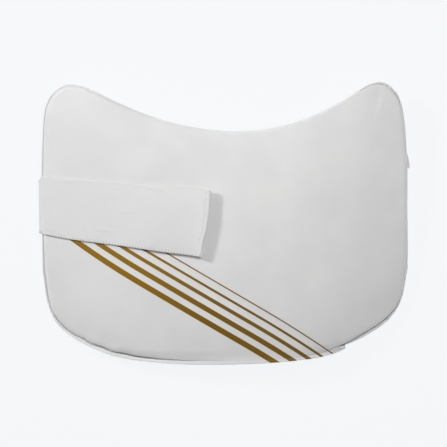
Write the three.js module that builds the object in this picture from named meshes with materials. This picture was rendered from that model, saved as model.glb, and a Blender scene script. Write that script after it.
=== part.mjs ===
// Padded chest guard for bat-and-ball sport, lying on its back with its face up.
// X runs across the chest, Y from the waist to the neck, Z out of the face. Sizes are in millimetres.
import * as THREE from "three";
import { mergeVertices } from "three/addons/utils/BufferGeometryUtils.js";

// Driving dimensions
const GAP = 0.3; // room between neighbouring pieces
const CHEST = {
  radius: 545, // curve of the guard round the chest
  halfWidth: 160, // from the middle to the rim, where that curve starts
};
const LEAN = {
  slope: 0.06, // the guard lies on its own strap, so its neck end is raised
  footY: -60, // where the lower corners of its rim meet the surface
  footHeight: -0.02, // seam above the surface there, less the rise of the chest curve
};
const FOAM = {
  bulge: 3, // height above the seam at which the pad is widest
  shoulder: 7.5, // thickness where the rolled edge ends
  crown: 4, // extra thickness in the middle
  crownHalf: { x: 165, y: 125 }, // from the middle to where the crown ends
  tuck: 0.3, // how far under the bulge the cover is drawn half way down to the seam
};
const BINDING = { width: 4, thick: 1.6, chamfer: 0.5, clear: 0.4 };
const PANEL = { thick: 3, edgeInset: 9, turnInset: 6 };
// The middle line that all the rows of the pad run in to, and the least that a row may face it
const SPINE = { half: 92, y: 4, from: 0.2, to: 0.8, leastFacing: 0.5 };

// The outline from the left side to the right side: a point, the way that the edge runs there in degrees, how
// much of the binding shows outside the face, and how wide the face's rolled edge is.
const UPPER_EDGE = [
  { at: "left side", x: -160.3, y: 7, heading: 91.5, show: 1.2, roll: 5 },
  { at: "left shoulder", x: -158.6, y: 91, heading: 86, show: 1.2, roll: 5 },
  { at: "left horn side", x: -151.4, y: 112.5, heading: 52, show: 1.4, roll: 5 },
  { at: "left horn tip", x: -135, y: 121.6, heading: 0, show: 1.4, roll: 5 },
  { at: "left neckline", x: -103.8, y: 110.6, heading: -27.5, show: 1.2, roll: 5 },
  { at: "neck dip", x: 10, y: 79.7, heading: 0, show: 1, roll: 5 },
  { at: "right neckline", x: 110.8, y: 112.6, heading: 33.5, show: 1.2, roll: 5 },
  { at: "right horn tip", x: 134, y: 123.6, heading: 0, show: 2.2, roll: 5 },
  { at: "right horn side", x: 148.8, y: 114.5, heading: -54, show: 1.4, roll: 5 },
  { at: "right shoulder", x: 155.8, y: 92.6, heading: -82.5, show: 1.2, roll: 5 },
  { at: "right side", x: 159.2, y: 7, heading: -90, show: 1.2, roll: 5 },
];
const LOWER_EDGE = [
  { at: "left side", x: -160.3, y: 7, heading: -88.5, show: 1.2, roll: 5 },
  { at: "left low side", x: -158.1, y: -58.6, heading: -79, show: 1.6, roll: 5 },
  { at: "left corner", x: -145.4, y: -89, heading: -45, show: 3, roll: 5.5 },
  { at: "left bottom", x: -110.2, y: -110.1, heading: -22, show: 3.8, roll: 6.5 },
  { at: "left waist", x: -56, y: -120.2, heading: -5, show: 3.8, roll: 8.5 },
  { at: "bottom", x: -10, y: -121.8, heading: 0, show: 3.8, roll: 9 },
  { at: "right waist", x: 58.5, y: -118.9, heading: 6, show: 3.8, roll: 8 },
  { at: "right bottom", x: 104.6, y: -108.2, heading: 27, show: 3.4, roll: 6 },
  { at: "right binding end", x: 116.4, y: -101.4, heading: 31, show: 2.2, roll: 5.5 },
  { at: "right corner", x: 141.4, y: -84.8, heading: 42, show: 1.8, roll: 5.5 },
  { at: "right low side", x: 155.4, y: -63, heading: 72, show: 1.4, roll: 5 },
  { at: "right side", x: 159.2, y: 7, heading: 90, show: 1.2, roll: 5 },
];

// How closely the outline is stepped along each stretch, as shares of its length
const EDGE_STEPS = [
  { from: 0, to: 0.14, steps: 3 },
  { from: 0.14, to: 0.36, steps: 17 },
  { from: 0.36, to: 0.64, steps: 12 },
  { from: 0.64, to: 0.86, steps: 17 },
  { from: 0.86, to: 1, steps: 3 },
];
const ROLL_STEPS = 5;
const FACE_ROWS = [0.07, 0.26, 0.5, 0.76]; // rows of the face between the rolled edge and the spine
const INNER_ROWS = [0.5]; // rows of a plain surface between the seam and the spine
const DISTANCE_STEPS = 260; // points of each edge line used to measure the distance to the rim

const STRAP = {
  thick: 1.8,
  clear: 0.7, // room under the strap on the face
  anchorX: 146, // where it is sewn behind the right edge
  riseFrom: 84, // where it leaves the surface to reach its sewn end
  riseTo: 132,
  turnRadius: 2.6, // middle of the strap round the left rim
  rimX: -160.9, // the rim at its furthest left under the strap
  outX: -162.4, // the strap's middle where it goes round that rim
  upright: 1, // least straight stretch after that turn
  rollShare: 0.2, // part of its slant on the face that falls on the rolled edge
  patchClear: 3.3, // room under it over the hook patch
  endClear: 4.2, // room under its free end, which lifts a little
  liftFrom: -86, // where it starts to rise to the patch
  liftTo: -66,
  acrossSteps: 3,
  floorSteps: 18,
  turnSteps: 4,
  rollSteps: 6,
  faceSteps: 14,
};
// The strap's edges, seen from the front: its sewn end, its turn round the rim and its free end
const STRAP_EDGES = {
  sewn: { top: 77, bottom: 27 },
  rim: { top: 40, bottom: -9.4 },
  free: { top: 28.3, bottom: -29.6, topX: -15.4, bottomX: -22.4 },
};
const HEM = { length: 3.8, layer: 0.9 };
const PATCH = { fromX: -66, toX: -31, thick: 2.4, margin: 7, raise: 3, steps: 5 };
const TAB = { innerX: 146.4, outerX: 161.2, y: 55.6, width: 13, bottom: 2.6, top: 5.9 };

const RADIAN = Math.PI / 180;

// One edge line of the outline, made of near-round arcs from row to row
class EdgeLine {
  constructor(rows, inwardSign) {
    this.rows = rows;
    this.inwardSign = inwardSign;
    this.path = new THREE.CurvePath();
    for (let i = 1; i < rows.length; i += 1) {
      this.path.add(arcBetween(rows[i - 1], rows[i]));
    }
    const lengths = this.path.getCurveLengths();
    const whole = lengths[lengths.length - 1];
    this.rowAt = [0, ...lengths.map((length) => length / whole)];
  }

  point(share) {
    return this.path.getPoint(share);
  }

  inward(share) {
    const tangent = this.path.getTangent(share);
    return new THREE.Vector2(-tangent.y, tangent.x).multiplyScalar(this.inwardSign);
  }

  between(share, column) {
    const next = Math.max(1, this.rowAt.findIndex((at) => at >= share - 1e-9));
    const part = (share - this.rowAt[next - 1]) / (this.rowAt[next] - this.rowAt[next - 1]);
    return THREE.MathUtils.lerp(this.rows[next - 1][column], this.rows[next][column], part);
  }
}

function arcBetween(start, end) {
  const from = new THREE.Vector2(start.x, start.y);
  const to = new THREE.Vector2(end.x, end.y);
  const turn = (end.heading - start.heading) * RADIAN;
  const handle = from.distanceTo(to) / (3 * Math.cos(turn / 4) ** 2);
  const ahead = from.clone().add(direction(start.heading).multiplyScalar(handle));
  const back = to.clone().sub(direction(end.heading).multiplyScalar(handle));
  return new THREE.CubicBezierCurve(from, ahead, back, to);
}

function direction(degrees) {
  return new THREE.Vector2(Math.cos(degrees * RADIAN), Math.sin(degrees * RADIAN));
}

const upperEdge = new EdgeLine(UPPER_EDGE, -1);
const lowerEdge = new EdgeLine(LOWER_EDGE, 1);
const rimPoints = [upperEdge, lowerEdge].map((edge) => edge.path.getSpacedPoints(DISTANCE_STEPS));

// Heights of the guard's surfaces over a point of the surface that it lies on
function chestCurve(x) {
  const rim = Math.sqrt(CHEST.radius ** 2 - CHEST.halfWidth ** 2);
  return Math.sqrt(CHEST.radius ** 2 - x ** 2) - rim;
}

function seamHeight(x, y) {
  return LEAN.footHeight + chestCurve(x) + LEAN.slope * (y - LEAN.footY);
}

function rimDistance(x, y) {
  const here = new THREE.Vector2(x, y);
  let nearest = Infinity;
  for (const line of rimPoints) {
    for (const point of line) {
      nearest = Math.min(nearest, point.distanceToSquared(here));
    }
  }
  return Math.sqrt(nearest);
}

function crownRise(x, y) {
  const aside = Math.min(1, (x / FOAM.crownHalf.x) ** 2);
  const along = Math.min(1, (y / FOAM.crownHalf.y) ** 2);
  return FOAM.crown * (1 - aside) * (1 - along);
}

function faceHeight(x, y, edge = UPPER_EDGE[0]) {
  const intoRoll = THREE.MathUtils.clamp((rimDistance(x, y) - edge.show) / edge.roll, 0, 1);
  const rolled = (FOAM.shoulder - FOAM.bulge) * Math.sqrt(1 - (1 - intoRoll) ** 2);
  return seamHeight(x, y) + FOAM.bulge + rolled + crownRise(x, y) * intoRoll;
}

// Stations round the rim: the upper edge from left to right, then the lower edge back again
function edgeShares() {
  const shares = [0];
  for (const stretch of EDGE_STEPS) {
    for (let step = 1; step <= stretch.steps; step += 1) {
      shares.push(THREE.MathUtils.lerp(stretch.from, stretch.to, step / stretch.steps));
    }
  }
  return shares;
}

function rimStation(edge, share) {
  const point = edge.point(share);
  const middle = (SPINE.from + SPINE.to) / 2;
  const along = THREE.MathUtils.clamp((share - middle) / (SPINE.to - middle), -1, 1);
  const spine = new THREE.Vector2(SPINE.half * along, SPINE.y);
  const toward = spine.clone().sub(point).normalize();
  const facing = Math.max(SPINE.leastFacing, toward.dot(edge.inward(share)));
  const show = edge.between(share, "show");
  return { point, spine, step: toward.divideScalar(facing), show, roll: edge.between(share, "roll") };
}

function rimStations() {
  const shares = edgeShares();
  const upper = shares.map((share) => rimStation(upperEdge, share));
  const lower = shares.slice(1, -1).map((share) => rimStation(lowerEdge, share));
  return [...upper, ...lower.reverse()];
}

const stations = rimStations();

function insetPoint(station, inset) {
  return station.point.clone().addScaledVector(station.step, inset);
}

// A ring that follows the rim at an inset, and a row part of the way from such a ring to the spine
function ring(insetOf, heightOf) {
  return stations.map((station) => {
    const point = insetPoint(station, insetOf(station));
    return new THREE.Vector3(point.x, point.y, heightOf(point, station));
  });
}

function row(insetOf, share, heightOf) {
  return stations.map((station) => {
    const point = insetPoint(station, insetOf(station)).lerp(station.spine, share);
    return new THREE.Vector3(point.x, point.y, heightOf(point, station));
  });
}

// A closed skin over rings of equal count; the last ring joins the first on a hoop
function skin(rings, isHoop = false) {
  const count = rings[0].length;
  const positions = rings.flat().flatMap((point) => point.toArray());
  const corners = [];
  const lastRing = isHoop ? rings.length : rings.length - 1;
  for (let r = 0; r < lastRing; r += 1) {
    const next = (r + 1) % rings.length;
    for (let k = 0; k < count; k += 1) {
      const beside = (k + 1) % count;
      const a = r * count + k;
      const b = r * count + beside;
      const c = next * count + beside;
      const d = next * count + k;
      corners.push(a, b, c, a, c, d);
    }
  }
  const geometry = new THREE.BufferGeometry();
  geometry.setAttribute("position", new THREE.Float32BufferAttribute(positions, 3));
  geometry.setIndex(corners);
  return facingOut(withoutCollapsed(mergeVertices(geometry, 1e-3)));
}

function withoutCollapsed(geometry) {
  const index = Array.from(geometry.index.array);
  const kept = [];
  for (let i = 0; i < index.length; i += 3) {
    const [a, b, c] = index.slice(i, i + 3);
    if (a !== b && b !== c && c !== a) {
      kept.push(a, b, c);
    }
  }
  geometry.setIndex(kept);
  return geometry;
}

function facingOut(geometry) {
  const position = geometry.attributes.position;
  const index = Array.from(geometry.index.array);
  const corner = [new THREE.Vector3(), new THREE.Vector3(), new THREE.Vector3()];
  let volume = 0;
  for (let i = 0; i < index.length; i += 3) {
    corner.forEach((point, k) => point.fromBufferAttribute(position, index[i + k]));
    volume += corner[0].dot(corner[1].clone().cross(corner[2]));
  }
  geometry.setIndex(volume < 0 ? index.reverse() : index);
  geometry.computeVertexNormals();
  return geometry;
}

// Materials
function finish(color, roughness) {
  return new THREE.MeshStandardMaterial({ color, roughness, metalness: 0 });
}

function namedMesh(name, geometry, material) {
  const mesh = new THREE.Mesh(geometry, material);
  mesh.name = name;
  return mesh;
}

// The foam pad: its flat underside, the throat over the binding, the bulge, the rolled edge and the crowned face
function facePad() {
  const seamInset = BINDING.width + 2 * GAP;
  const throatRise = BINDING.thick / 2 + BINDING.clear;
  const underside = (point) => seamHeight(point.x, point.y) + GAP / 2;
  const raised = (rise) => (point) => seamHeight(point.x, point.y) + rise;
  const overFoam = (point, station) => faceHeight(point.x, point.y, station);
  const rings = [row(() => seamInset, 1, underside)];
  for (const share of [...INNER_ROWS].reverse()) {
    rings.push(row(() => seamInset, share, underside));
  }
  rings.push(ring(() => seamInset, underside));
  rings.push(ring(() => seamInset, raised(throatRise)));
  rings.push(ring(({ show }) => THREE.MathUtils.lerp(show, seamInset, FOAM.tuck), raised(FOAM.bulge / 2)));
  for (let step = 0; step <= ROLL_STEPS; step += 1) {
    const inward = 1 - Math.cos((step / ROLL_STEPS) * (Math.PI / 2));
    rings.push(ring(({ show, roll }) => show + roll * inward, overFoam));
  }
  for (const share of [...FACE_ROWS, 1]) {
    rings.push(row(({ show, roll }) => show + roll, share, overFoam));
  }
  return namedMesh("face_pad", skin(rings), finish(0xe9e9e7, 0.45));
}

// The backing, as far behind the seam as the pad is in front of it
function backPanel() {
  const seamInset = BINDING.width + 2 * GAP;
  const throatDrop = BINDING.thick / 2 + BINDING.clear;
  const below = (drop) => (point) => seamHeight(point.x, point.y) - drop;
  const rings = [row(() => seamInset, 1, below(GAP / 2))];
  for (const share of [...INNER_ROWS].reverse()) {
    rings.push(row(() => seamInset, share, below(GAP / 2)));
  }
  rings.push(ring(() => seamInset, below(GAP / 2)));
  rings.push(ring(() => seamInset, below(throatDrop)));
  rings.push(ring(() => PANEL.turnInset, below(PANEL.thick - 2 * GAP)));
  rings.push(ring(() => PANEL.edgeInset, below(PANEL.thick)));
  for (const share of [...INNER_ROWS, 1]) {
    rings.push(row(() => PANEL.edgeInset, share, below(PANEL.thick)));
  }
  return namedMesh("back_panel", skin(rings), finish(0xd9d9d6, 0.85));
}

// The bound seam, a flat hoop round the rim with its outer corners taken off
function edgeBinding() {
  const half = BINDING.thick / 2;
  const section = [
    { inset: BINDING.width, rise: -half },
    { inset: BINDING.chamfer, rise: -half },
    { inset: 0, rise: BINDING.chamfer - half },
    { inset: 0, rise: half - BINDING.chamfer },
    { inset: BINDING.chamfer, rise: half },
    { inset: BINDING.width, rise: half },
  ];
  const hoops = section.map(({ inset, rise }) =>
    ring(() => inset, (point) => seamHeight(point.x, point.y) + rise));
  return namedMesh("edge_binding", skin(hoops, true), finish(0xe2e2df, 0.7));
}

// The middle line of the strap at one place across it, from its sewn end to its free end.
// Across is 0 at its bottom edge and 1 at its top edge.
function strapLine(across) {
  const at = (end) => THREE.MathUtils.lerp(end.bottom, end.top, across);
  const endX = THREE.MathUtils.lerp(STRAP_EDGES.free.bottomX, STRAP_EDGES.free.topX, across);
  return [...strapFloor(at), ...strapTurn(at), ...strapRoll(at), ...strapFace(at, endX)];
}

function strapFloor(at) {
  const turnX = STRAP.outX + STRAP.turnRadius;
  const line = [];
  for (let step = 0; step <= STRAP.floorSteps; step += 1) {
    const share = step / STRAP.floorSteps;
    const x = THREE.MathUtils.lerp(STRAP.anchorX, turnX, share);
    const y = THREE.MathUtils.lerp(at(STRAP_EDGES.sewn), at(STRAP_EDGES.rim), share);
    const toSewn = THREE.MathUtils.smoothstep(x, STRAP.riseFrom, STRAP.riseTo);
    const underPanel = seamHeight(x, y) - PANEL.thick - GAP - STRAP.thick / 2;
    line.push(new THREE.Vector3(x, y, THREE.MathUtils.lerp(STRAP.thick / 2, underPanel, toSewn)));
  }
  return line;
}

function strapTurn(at) {
  const y = at(STRAP_EDGES.rim);
  const centreX = STRAP.outX + STRAP.turnRadius;
  const centreZ = STRAP.thick / 2 + STRAP.turnRadius;
  const line = [];
  for (let step = 1; step <= STRAP.turnSteps; step += 1) {
    const angle = (step / STRAP.turnSteps) * (Math.PI / 2);
    const x = centreX - STRAP.turnRadius * Math.sin(angle);
    line.push(new THREE.Vector3(x, y, centreZ - STRAP.turnRadius * Math.cos(angle)));
  }
  const bindingTop = seamHeight(STRAP.outX, y) + BINDING.thick / 2;
  line.push(new THREE.Vector3(STRAP.outX + GAP, y, Math.max(bindingTop, centreZ + STRAP.upright)));
  return line;
}

function strapRoll(at) {
  const off = STRAP.clear + STRAP.thick / 2;
  const { show, roll } = UPPER_EDGE[0];
  const rollX = STRAP.rimX + show + roll;
  const line = [];
  for (let step = 1; step <= STRAP.rollSteps; step += 1) {
    const angle = ((step + 1) / (STRAP.rollSteps + 1)) * (Math.PI / 2);
    const x = rollX - (roll + off) * Math.cos(angle);
    const slant = STRAP.rollShare * (step / STRAP.rollSteps);
    const y = THREE.MathUtils.lerp(at(STRAP_EDGES.rim), at(STRAP_EDGES.free), slant);
    const rolled = FOAM.shoulder - FOAM.bulge + crownRise(rollX, y);
    const rise = FOAM.bulge + (rolled + off) * Math.sin(angle);
    line.push(new THREE.Vector3(x, y, seamHeight(x, y) + rise));
  }
  return line;
}

function strapFace(at, endX) {
  const startX = STRAP.rimX + UPPER_EDGE[0].show + UPPER_EDGE[0].roll;
  const line = [];
  for (let step = 1; step <= STRAP.faceSteps; step += 1) {
    const share = step / STRAP.faceSteps;
    const x = THREE.MathUtils.lerp(startX, endX, share);
    const slant = THREE.MathUtils.lerp(STRAP.rollShare, 1, share);
    const y = THREE.MathUtils.lerp(at(STRAP_EDGES.rim), at(STRAP_EDGES.free), slant);
    line.push(new THREE.Vector3(x, y, faceHeight(x, y) + strapClear(x) + STRAP.thick / 2));
  }
  return line;
}

function strapClear(x) {
  const toPatch = THREE.MathUtils.smoothstep(x, STRAP.liftFrom, STRAP.liftTo);
  const toEnd = THREE.MathUtils.smoothstep(x, PATCH.toX, STRAP_EDGES.free.topX);
  return STRAP.clear + (STRAP.patchClear - STRAP.clear) * toPatch + (STRAP.endClear - STRAP.patchClear) * toEnd;
}

// A band of even thickness along side-by-side lines, closed flat at both ends
function bandSkin(lines, thick) {
  const sections = lines[0].map((_, i) => {
    const upper = lines.map((line) => line[i].clone().addScaledVector(lineNormal(line, i), thick / 2));
    const lower = lines.map((line) => line[i].clone().addScaledVector(lineNormal(line, i), -thick / 2));
    return [...upper, ...lower.reverse()];
  });
  const closed = (i) => {
    const middle = lines.map((line) => line[i].clone());
    return [...middle, ...middle.slice().reverse()];
  };
  return skin([closed(0), ...sections, closed(sections.length - 1)]);
}

// Out of the bend of a line, square to it and without any tilt along Y
function lineNormal(line, i) {
  const before = line[Math.max(0, i - 1)];
  const after = line[Math.min(line.length - 1, i + 1)];
  return new THREE.Vector3(after.z - before.z, 0, before.x - after.x).normalize();
}

function strapLines() {
  const lines = [];
  for (let step = 0; step <= STRAP.acrossSteps; step += 1) {
    lines.push(strapLine(step / STRAP.acrossSteps));
  }
  return lines;
}

const strapMiddles = strapLines();

function strap() {
  return namedMesh("strap", bandSkin(strapMiddles, STRAP.thick), finish(0xe4e4e2, 0.8));
}

// The hem: a tape folded over the strap's free end, its section drawn along the strap and run across it
function strapHem() {
  const bottomLine = strapMiddles[0];
  const topLine = strapMiddles[strapMiddles.length - 1];
  const bottomEnd = bottomLine[bottomLine.length - 1];
  const topEnd = topLine[topLine.length - 1];
  const acrossAxis = topEnd.clone().sub(bottomEnd);
  const width = acrossAxis.length();
  acrossAxis.normalize();
  const alongAxis = topEnd.clone().sub(topLine[topLine.length - 2]);
  alongAxis.addScaledVector(acrossAxis, -alongAxis.dot(acrossAxis)).normalize();
  const upAxis = acrossAxis.clone().cross(alongAxis).negate();
  const inner = STRAP.thick / 2 + GAP;
  const outer = inner + HEM.layer;
  const section = new THREE.Shape();
  section.moveTo(-HEM.length, inner);
  section.lineTo(GAP, inner);
  section.lineTo(GAP, -inner);
  section.lineTo(-HEM.length, -inner);
  section.lineTo(-HEM.length, -outer);
  section.lineTo(GAP, -outer);
  section.absarc(GAP, 0, outer, -Math.PI / 2, Math.PI / 2, false);
  section.lineTo(-HEM.length, outer);
  section.closePath();
  const geometry = new THREE.ExtrudeGeometry(section, { depth: width, bevelEnabled: false, curveSegments: 5 });
  const hem = namedMesh("strap_hem", geometry, finish(0xe6e6e4, 0.75));
  hem.quaternion.setFromRotationMatrix(new THREE.Matrix4().makeBasis(alongAxis, upAxis, acrossAxis.negate()));
  hem.position.copy(topEnd);
  return hem;
}

// The hook-and-loop patch under the strap's end, bedded on the face
function hookPatch() {
  const lines = [];
  for (let step = 0; step <= STRAP.acrossSteps; step += 1) {
    const across = step / STRAP.acrossSteps;
    const line = [];
    for (let i = 0; i <= PATCH.steps; i += 1) {
      const x = THREE.MathUtils.lerp(PATCH.fromX, PATCH.toX, i / PATCH.steps);
      const top = STRAP_EDGES.free.top - PATCH.margin + PATCH.raise;
      const bottom = STRAP_EDGES.free.bottom + PATCH.margin + PATCH.raise;
      const y = THREE.MathUtils.lerp(bottom, top, across);
      line.push(new THREE.Vector3(x, y, faceHeight(x, y) + GAP + PATCH.thick / 2));
    }
    lines.push(line);
  }
  return namedMesh("hook_patch", bandSkin(lines, PATCH.thick), finish(0xd8d8d5, 0.9));
}

// The folded tab at the right edge, a flat loop with a round nose
function sideTab() {
  const nose = (TAB.top - TAB.bottom) / 2;
  const section = new THREE.Shape();
  section.moveTo(TAB.innerX, TAB.bottom);
  section.lineTo(TAB.outerX - nose, TAB.bottom);
  section.absarc(TAB.outerX - nose, TAB.bottom + nose, nose, -Math.PI / 2, Math.PI / 2, false);
  section.lineTo(TAB.innerX, TAB.top);
  section.closePath();
  const geometry = new THREE.ExtrudeGeometry(section, { depth: TAB.width, bevelEnabled: false, curveSegments: 5 });
  const tab = namedMesh("side_tab", geometry, finish(0xdededb, 0.8));
  tab.rotation.x = Math.PI / 2;
  tab.position.y = TAB.y + TAB.width / 2;
  return tab;
}

const pad = new THREE.Group();
pad.add(facePad(), backPanel(), edgeBinding(), sideTab());

const fastening = new THREE.Group();
fastening.add(strap(), strapHem(), hookPatch());

const chestGuard = new THREE.Group();
chestGuard.add(pad, fastening);

// The origin is under the middle of the whole guard, on the surface that it lies on
const box = new THREE.Box3().setFromObject(chestGuard, true);
const middle = box.getCenter(new THREE.Vector3());
pad.position.set(-middle.x, -middle.y, -box.min.z);
fastening.position.copy(pad.position);

export default chestGuard;
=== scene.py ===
"""Dresses the chest guard: striped leathercloth on foam, a cloth back, a turned seam and an elastic strap."""

import logging
import math
from collections.abc import Callable
from dataclasses import dataclass, field
from enum import Enum

import bpy
import numpy as np
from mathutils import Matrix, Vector, noise
from mathutils.bvhtree import BVHTree
from mathutils.kdtree import KDTree


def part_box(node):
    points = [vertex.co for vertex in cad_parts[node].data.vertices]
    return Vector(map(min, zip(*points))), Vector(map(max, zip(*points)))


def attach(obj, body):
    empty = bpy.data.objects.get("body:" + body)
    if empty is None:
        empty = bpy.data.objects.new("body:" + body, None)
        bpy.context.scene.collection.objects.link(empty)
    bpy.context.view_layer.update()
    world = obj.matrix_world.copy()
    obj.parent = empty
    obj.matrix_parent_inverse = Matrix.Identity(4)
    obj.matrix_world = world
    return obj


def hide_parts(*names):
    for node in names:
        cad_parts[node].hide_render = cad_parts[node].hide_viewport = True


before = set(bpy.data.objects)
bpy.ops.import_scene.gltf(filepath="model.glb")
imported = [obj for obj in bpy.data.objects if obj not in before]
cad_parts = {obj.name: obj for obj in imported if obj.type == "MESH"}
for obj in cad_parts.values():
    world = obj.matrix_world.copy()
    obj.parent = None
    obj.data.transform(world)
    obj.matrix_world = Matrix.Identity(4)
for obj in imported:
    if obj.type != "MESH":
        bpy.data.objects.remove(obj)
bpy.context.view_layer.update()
BODY = "root"
MM = 0.001
LOG = logging.getLogger("chest_guard")

Pair = tuple[float, float]
Triple = tuple[float, float, float]
Colour = Triple
Socket = bpy.types.NodeSocket
Feed = Socket | float | tuple[float, ...]


def lengths(line: np.ndarray) -> np.ndarray:
    """Gives the length along a line at each of its points."""
    return np.concatenate([[0.0], np.cumsum(np.linalg.norm(np.diff(line, axis=0), axis=1))])


def read_at(stops: np.ndarray, along: np.ndarray, rows: np.ndarray) -> np.ndarray:
    """Reads rows of three values, which lie along a line, at some stops on it."""
    return np.column_stack([np.interp(stops, along, rows[:, k]) for k in range(3)])


def unit(rows: np.ndarray) -> np.ndarray:
    """Makes each row of three values one long."""
    return rows / np.linalg.norm(rows, axis=-1, keepdims=True)


def bell(away: np.ndarray) -> np.ndarray:
    """Falls off softly from 1, by a distance counted in reaches."""
    return np.exp(-away * away)


def ease_in_out(share: float) -> float:
    """Holds a share between 0 and 1, and eases it in and out."""
    held = min(1.0, max(0.0, share))
    return held * held * (3 - 2 * held)


class Slot(Enum):
    """The record's material slots."""

    COVER = "cover"
    BACKING = "backing"
    BINDING = "binding"
    ELASTIC = "elastic"
    HOOK_TAPE = "hook_tape"


class Edge(Enum):
    """The two long edges of the strap, as its place across."""

    LOWER = 0
    UPPER = -1


class Bench:
    """The hand tools that the pieces are worked with, one piece at a time."""

    MERGE = 0.01 * MM
    FLAT_ENOUGH = math.radians(60)
    ROUNDING_STEPS = 2
    HALFWAY = 0.5

    @staticmethod
    def pick(piece: bpy.types.Object) -> None:
        """Makes the piece the only selected object and the active one.

        Args:
            piece: The piece.
        """
        bpy.ops.object.select_all(action="DESELECT")
        piece.select_set(True)
        bpy.context.view_layer.objects.active = piece

    @staticmethod
    def add(name: str, data: bpy.types.ID) -> bpy.types.Object:
        """Adds an object with its data to the scene.

        Args:
            name: Name of the object.
            data: Its mesh, light or camera.

        Returns:
            The object.
        """
        thing = bpy.data.objects.new(name, data)
        bpy.context.scene.collection.objects.link(thing)
        return thing

    @staticmethod
    def copy_of_node(node: str, name: str) -> bpy.types.Object:
        """Copies a CAD node's mesh into a new piece, merged and turned back into four-sided faces.

        Args:
            node: Name of the CAD node.
            name: Name of the new piece.

        Returns:
            The new piece.
        """
        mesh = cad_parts[node].data.copy()
        mesh.name = name
        mesh.materials.clear()
        piece = Bench.add(name, mesh)
        Bench.pick(piece)
        bpy.ops.mesh.customdata_custom_splitnormals_clear()
        bpy.ops.object.mode_set(mode="EDIT")
        bpy.ops.mesh.select_all(action="SELECT")
        bpy.ops.mesh.remove_doubles(threshold=Bench.MERGE)
        bpy.ops.mesh.tris_convert_to_quads(
            face_threshold=Bench.FLAT_ENOUGH, shape_threshold=Bench.FLAT_ENOUGH)
        bpy.ops.object.mode_set(mode="OBJECT")
        bpy.ops.object.shade_smooth()
        return piece

    @staticmethod
    def from_faces(name: str, points: np.ndarray, faces: list[tuple[int, ...]]) -> bpy.types.Object:
        """Makes a piece from points and faces that were modelled once and copied.

        Args:
            name: Name of the new piece.
            points: Its points, one row each.
            faces: Its faces, as numbers of points.

        Returns:
            The new piece.
        """
        mesh = bpy.data.meshes.new(name)
        mesh.from_pydata(points.tolist(), [], faces)
        piece = Bench.add(name, mesh)
        Bench.pick(piece)
        bpy.ops.object.shade_smooth()
        return piece

    @staticmethod
    def grid(name: str, along_steps: int, across_steps: int) -> tuple[bpy.types.Object, np.ndarray]:
        """Adds a flat grid of faces.

        Args:
            name: Name of the new piece.
            along_steps: How many faces it has along it.
            across_steps: How many it has across it.

        Returns:
            The grid, and each of its points' shares along it and across it.
        """
        bpy.ops.object.select_all(action="DESELECT")
        bpy.ops.mesh.primitive_grid_add(x_subdivisions=along_steps, y_subdivisions=across_steps, size=1.0)
        piece = bpy.context.active_object
        piece.name = name
        return piece, Bench.points(piece)[:, :2] + 0.5

    @staticmethod
    def hoop(name: str, rows: np.ndarray) -> bpy.types.Object:
        """Bends a grid round into a closed hoop with a closed section.

        Args:
            name: Name of the new piece.
            rows: The section's points at each step round the hoop.

        Returns:
            The hoop.
        """
        piece, shares = Bench.grid(name, rows.shape[0], rows.shape[1])
        around = np.rint(shares[:, 0] * rows.shape[0]).astype(int) % rows.shape[0]
        across = np.rint(shares[:, 1] * rows.shape[1]).astype(int) % rows.shape[1]
        Bench.move_points(piece, rows[around, across])
        bpy.ops.object.mode_set(mode="EDIT")
        bpy.ops.mesh.select_all(action="SELECT")
        bpy.ops.mesh.remove_doubles(threshold=Bench.MERGE)
        bpy.ops.mesh.normals_make_consistent(inside=False)
        bpy.ops.object.mode_set(mode="OBJECT")
        bpy.ops.object.shade_smooth()
        return piece

    @staticmethod
    def read(piece: bpy.types.Object, what: str) -> np.ndarray:
        """Reads one value of all the piece's points.

        Args:
            piece: The piece.
            what: Name of the value, which has three parts.

        Returns:
            One row for each point.
        """
        flat = np.empty(len(piece.data.vertices) * 3)
        piece.data.vertices.foreach_get(what, flat)
        return flat.reshape(-1, 3)

    @staticmethod
    def points(piece: bpy.types.Object) -> np.ndarray:
        """Gives the piece's points, one row each."""
        return Bench.read(piece, "co")

    @staticmethod
    def move_points(piece: bpy.types.Object, points: np.ndarray) -> None:
        """Puts the piece's points in new places."""
        piece.data.vertices.foreach_set("co", points.ravel())
        piece.data.update()

    @staticmethod
    def normals(piece: bpy.types.Object) -> np.ndarray:
        """Gives the way that the surface faces at each point."""
        return Bench.read(piece, "normal")

    @staticmethod
    def apply(piece: bpy.types.Object, modifier: bpy.types.Modifier) -> None:
        """Applies a modifier to the piece's mesh."""
        Bench.pick(piece)
        bpy.ops.object.modifier_apply(modifier=modifier.name)

    @staticmethod
    def subdivide(piece: bpy.types.Object, levels: int) -> None:
        """Rounds the piece with a subdivision surface.

        Args:
            piece: The piece.
            levels: How many times it is subdivided.
        """
        modifier = piece.modifiers.new("rounding", "SUBSURF")
        modifier.levels = levels
        modifier.render_levels = levels
        Bench.apply(piece, modifier)

    @staticmethod
    def relax(piece: bpy.types.Object, chosen: np.ndarray, rounds: int) -> None:
        """Evens out the spacing of some of a piece's points, so that none of its faces fold over.

        Args:
            piece: The piece.
            chosen: True for each point that may move.
            rounds: How many times each point moves halfway to the middle of its neighbours.
        """
        Bench.pick(piece)
        mesh = piece.data
        mesh.polygons.foreach_set("select", np.zeros(len(mesh.polygons), dtype=bool))
        mesh.edges.foreach_set("select", np.zeros(len(mesh.edges), dtype=bool))
        mesh.vertices.foreach_set("select", chosen)
        bpy.ops.object.mode_set(mode="EDIT")
        bpy.ops.mesh.vertices_smooth(factor=Bench.HALFWAY, repeat=rounds)
        bpy.ops.object.mode_set(mode="OBJECT")

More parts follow.
